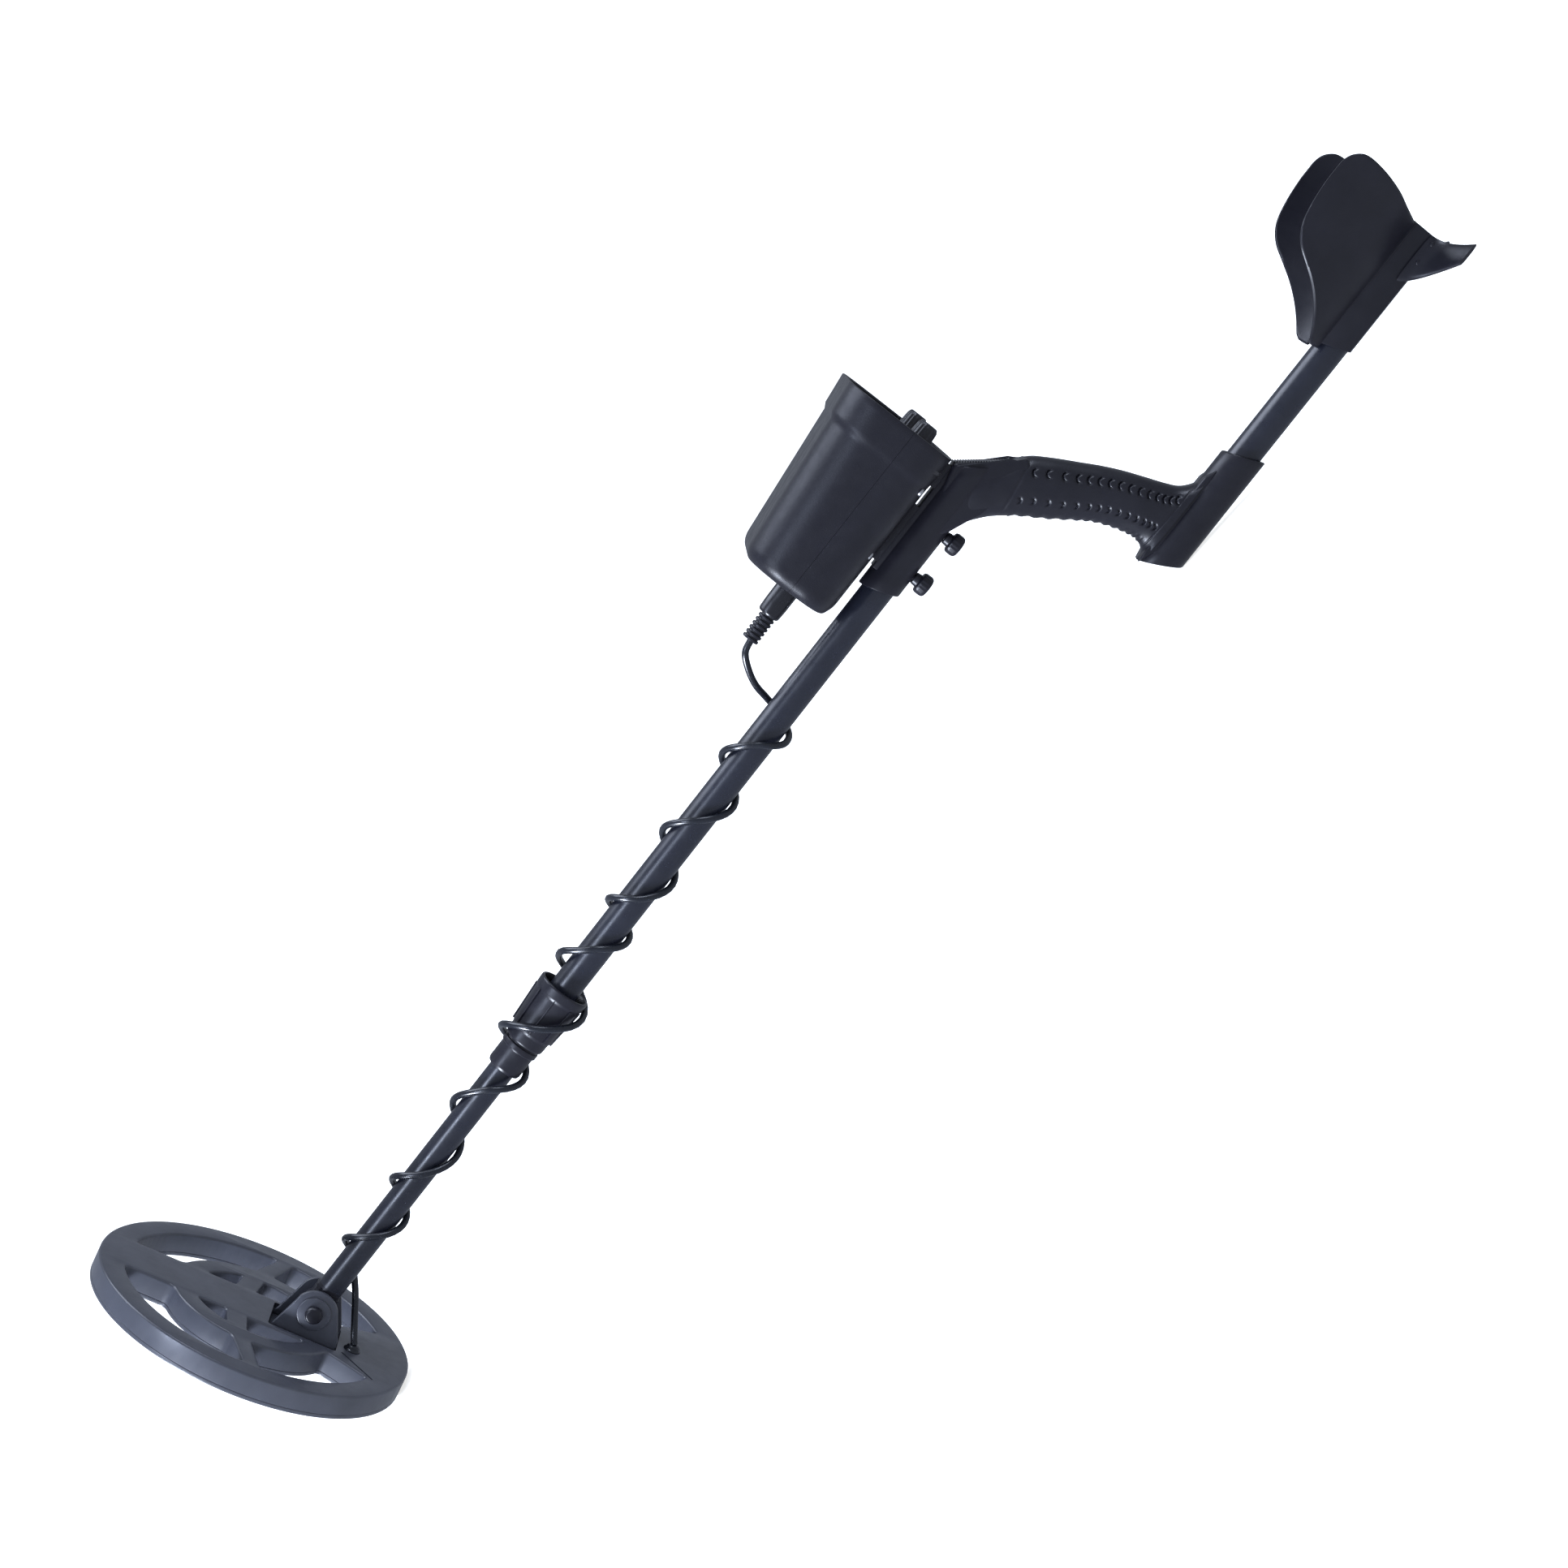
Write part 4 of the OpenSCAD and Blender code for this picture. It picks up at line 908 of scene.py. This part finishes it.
def make_plug():
    """The coil plug with its two grip hollows and the ribbed strain relief behind it."""
    bm = bmesh.new()

    def hollow(turn, along):
        inside = 588 < along < 604
        return 1 - (0.06 * max(math.cos(2 * turn), 0) ** 2 if inside else 0)

    body = [(585, 0), (585, 7.2), (586.5, 8.1), (594, 8.5), (606, 8.6), (609, 8.6), (609.6, 8),
            (609.6, 6.1), (618.6, 6.1), (618.6, 0)]
    lathe(bm, eased(body, 0.6), (0, 0, PLUG_Z), "x", 64, hollow)
    finish_piece("plug_skin", bm, "handle", "panel_plastic", ("coil_plug",))
    profile = [(564, 0), (564, 4.6)]
    for i in range(6):
        x = 564.2 + 3.5 * i
        profile += [(x, 6.1), (x + 1.9, 6.2), (x + 2.1, 5.0), (x + 3.3, 5.0)]
    profile += [(585.4, 6.2), (585.4, 0)]
    boot = bmesh.new()
    lathe(boot, eased(profile, 0.35, 2), (0, 0, PLUG_Z - 0.7), "x", 48)
    finish_piece("boot_skin", boot, "handle", "grip_rubber", ("plug_boot",))


# ---- Arm rest ----------------------------------------------------------------------------------
WING = ((953, -131), (953, -124), (962, -117), (971, -109), (980, -98.5), (988, -86), (994, -76),
        (1001, -69), (1010, -64.5), (1025, -61.5), (1045, -60), (1057, -61), (1064, -65.5),
        (1067.5, -73), (1067, -88), (1064, -105), (1060, -118), (1057, -131))
WING_FOOT = -131
WING_RISE = 70.7
WING_R = 80
WING_T = 2.6
WING_Y = -35.6
WING_Z = -68.3


def wing_span(z, outline):
    """The front and rear of the wing's outline at a height."""
    crossings = []
    for a, b in zip(outline, outline[1:]):
        if (a.y - z) * (b.y - z) <= 0 and a.y != b.y:
            crossings.append(a.x + (b.x - a.x) * (z - a.y) / (b.y - a.y))
    return min(crossings), max(crossings)


def border(grid):
    """The vertices round the edge of a grid, in order."""
    ahead = grid[0] + [row[-1] for row in grid[1:]]
    return ahead + grid[-1][-2::-1] + [row[0] for row in grid[-2:0:-1]]


def make_wings():
    """The two curved wings of the arm rest, with rounded edges."""
    outline = smooth_line(WING, 6)
    rows, columns = 48, 40
    for side, name in ((-1, "near"), (1, "far")):
        bm = bmesh.new()
        sheet = []
        for depth in (0, WING_T):
            grid = []
            for i in range(rows + 1):
                z = WING_FOOT + WING_RISE * math.sin(math.pi / 2 * i / rows) ** 0.9
                first, last = wing_span(z, outline)
                row = []
                for j in range(columns + 1):
                    share = 0.5 - 0.5 * math.cos(math.pi * j / columns)
                    x = first + (last - first) * share
                    angle = math.asin((z - WING_Z) / WING_R)
                    r = WING_R - depth
                    edge = min(share, 1 - share) * (last - first)
                    trim = 0.9 * max(1 - edge / 1.2, 0) * (1 if depth == 0 else -1)
                    y = WING_Y + (r - trim) * math.cos(angle)
                    row.append(bm.verts.new((x, side * y, WING_Z + (r - trim) * math.sin(angle))))
                grid.append(row)
            sheet.append(grid)
        for grid in sheet:
            for a, b in zip(grid, grid[1:]):
                for j in range(columns):
                    bm.faces.new((a[j], a[j + 1], b[j + 1], b[j]))
        rim, back = border(sheet[0]), border(sheet[1])
        for k in range(len(rim)):
            n = (k + 1) % len(rim)
            bm.faces.new((rim[k], rim[n], back[n], back[k]))
        finish_piece(f"wing_{name}", bm, "handle", "black_plastic", ("arm_cup",) if side < 0 else ())


def make_channel():
    """The clamp that holds the rear tube, with a floor for the arm and rounded edges."""
    section = [(-14, -129.5), (-13.4, -145), (-11.5, -151), (-8, CHANNEL_LOW), (8, CHANNEL_LOW),
               (11.5, -151), (13.4, -145), (14, -129.5), (13.4, CHANNEL_TOP), (-13.4, CHANNEL_TOP)]
    stations = ((965, 0.97, 8.5), (965.8, 1, 8.5), (1010, 1, 0), (1057, 1, 0), (1058, 0.97, 0))
    tall = CHANNEL_TOP - CHANNEL_LOW
    bm = bmesh.new()
    loft(bm, [[(x - slant * (z - CHANNEL_LOW) / tall, y * k, z) for y, z in section]
              for x, k, slant in stations])
    bore = bmesh.new()
    lathe(bore, [(940, TUBE_R + 0.05), (1056, TUBE_R + 0.05)], (0, 0, -REAR_DROP), "x", 64)
    bm = cut_with(bm, bore)
    finish_piece("channel_skin", bm, "handle", "black_plastic")
    lip = bmesh.new()
    outline = [(953.5, 0), (954.5, 14.2), (1058, 14.7), (1058, -14.7), (954.5, -14.2)]
    loft(lip, [[(x, y, z) for x, y in outline] for z in (-131.4, -128.4)])
    bmesh.ops.bevel(lip, geom=list(lip.edges), offset=0.8, segments=2, affect="EDGES", profile=0.5)
    finish_piece("arm_floor", lip, "handle", "black_plastic")
    screws = bmesh.new()
    for x in (1038, 1053):
        for side in (-1, 1):
            screw = ((11.5, 0), (11.5, 1.2), (15.4, 1.2), (15.4, 2), (16.4, 1.5), (16.6, 0))
            lathe(screws, eased([(y * side, r) for y, r in screw], 0.3), (x, 0, -148.5), "y", 24)
    finish_piece("arm_screw_skins", screws, "handle", "black_plastic", ("arm_screws",))


def make_stand():
    """The stand's two splayed legs, each a waisted fin that widens to its foot."""
    for side, name in ((-1, "near"), (1, "far")):
        bm = bmesh.new()
        rings = []
        for k in range(17):
            t = k / 16
            y = side * (13.3 * (1 - t) ** 2 + 2 * 14.2 * t * (1 - t) + 36 * t * t)
            z = -145 * (1 - t) ** 2 - 2 * 156 * t * (1 - t) - 167 * t * t
            front = 1020.5 + (1051.5 - 1020.5) * t ** 1.5
            rear = 1058 + (1068.5 - 1058) * t ** 2.2
            thick = 2.6 - 0.4 * t
            ring = []
            for i in range(24):
                a = 2 * math.pi * i / 24
                u = math.copysign(abs(math.cos(a)) ** 0.7, math.cos(a))
                v = math.copysign(abs(math.sin(a)) ** 0.7, math.sin(a))
                lean_y, lean_z = side * 0.62 * thick * v, 0.78 * thick * v
                ring.append(((front + rear) / 2 + (rear - front) / 2 * u, y + lean_y, z + lean_z * 0.8))
            rings.append(ring)
        loft(bm, rings)
        cut_flat(bm, (0, 0, FOOT_Z), (0, 0, -1))
        finish_piece(f"stand_leg_{name}", bm, "handle", "black_plastic",
                     ("arm_stand",) if side < 0 else ())


# ---- Studio ------------------------------------------------------------------------------------
def make_studio():
    """A wide pale floor under a white sky, with a few soft lights that draw the highlights."""
    bm = bmesh.new()
    bmesh.ops.create_grid(bm, x_segments=1, y_segments=1, size=FLOOR_SIZE / 2)
    mesh = bpy.data.meshes.new("floor")
    bm.to_mesh(mesh)
    bm.free()
    floor = bpy.data.objects.new("floor", mesh)
    bpy.context.scene.collection.objects.link(floor)
    paper = material("floor_paper", (0.93, 0.93, 0.91), 0.9, (300, 0.02), fleck=0.01)
    glow = paper.node_tree.nodes["Principled BSDF"]
    glow.inputs["Emission Color"].default_value = (1, 1, 0.98, 1)
    glow.inputs["Emission Strength"].default_value = 0.7
    mesh.materials.append(paper)
    floor.visible_glossy = False
    make_sky()
    for name, place, target, size, power, colour in (
            ("key", (-1.3, -2.2, 2.0), (0, 0, 0.1), 0.7, 50, (0.7, 0.79, 1.0)),
            ("side", (-2.1, -1.0, 0.3), (-0.45, 0, 0.06), 0.5, 170, (0.78, 0.85, 1.0)),
            ("top", (0.1, 0.3, 2.3), (0, 0, 0.1), 1.5, 55, (0.76, 0.83, 1.0)),
            ("rim", (1.8, -0.4, 1.8), (0.2, 0, 0.1), 0.7, 25, (0.75, 0.82, 1.0))):
        light = bpy.data.objects.new(name, bpy.data.lights.new(name, "AREA"))
        bpy.context.scene.collection.objects.link(light)
        light.data.size = size
        light.data.energy = power
        light.data.color = colour
        light.location = place
        light.rotation_euler = (Vector(target) - Vector(place)).to_track_quat("-Z", "Y").to_euler()


def make_sky():
    """The sky is white to look at, and lights the object more softly with a cool tint."""
    world = bpy.data.worlds.new("studio")
    bpy.context.scene.world = world
    world.use_nodes = True
    nodes, links = world.node_tree.nodes, world.node_tree.links
    fill = nodes["Background"]
    fill.inputs["Color"].default_value = (0.8, 0.87, 1.0, 1)
    fill.inputs["Strength"].default_value = 0.5
    seen = nodes.new("ShaderNodeBackground")
    seen.inputs["Color"].default_value = (1, 1, 1, 1)
    seen.inputs["Strength"].default_value = 1.1
    path = nodes.new("ShaderNodeLightPath")
    mix = nodes.new("ShaderNodeMixShader")
    links.new(path.outputs["Is Camera Ray"], mix.inputs["Fac"])
    links.new(fill.outputs["Background"], mix.inputs[1])
    links.new(seen.outputs["Background"], mix.inputs[2])
    links.new(mix.outputs["Shader"], nodes["World Output"].inputs["Surface"])


make_camera()
LOOKS = make_materials()
dress_cad_nodes(LOOKS)
make_lead()
make_coil()
make_pivot()
make_lock()
make_grip()
make_handle_frame()
make_thumb_rest()
make_thumb_screws()
make_housing()
make_knobs()
make_panel_marks()
make_plug()
make_wings()
make_channel()
make_stand()
make_studio()
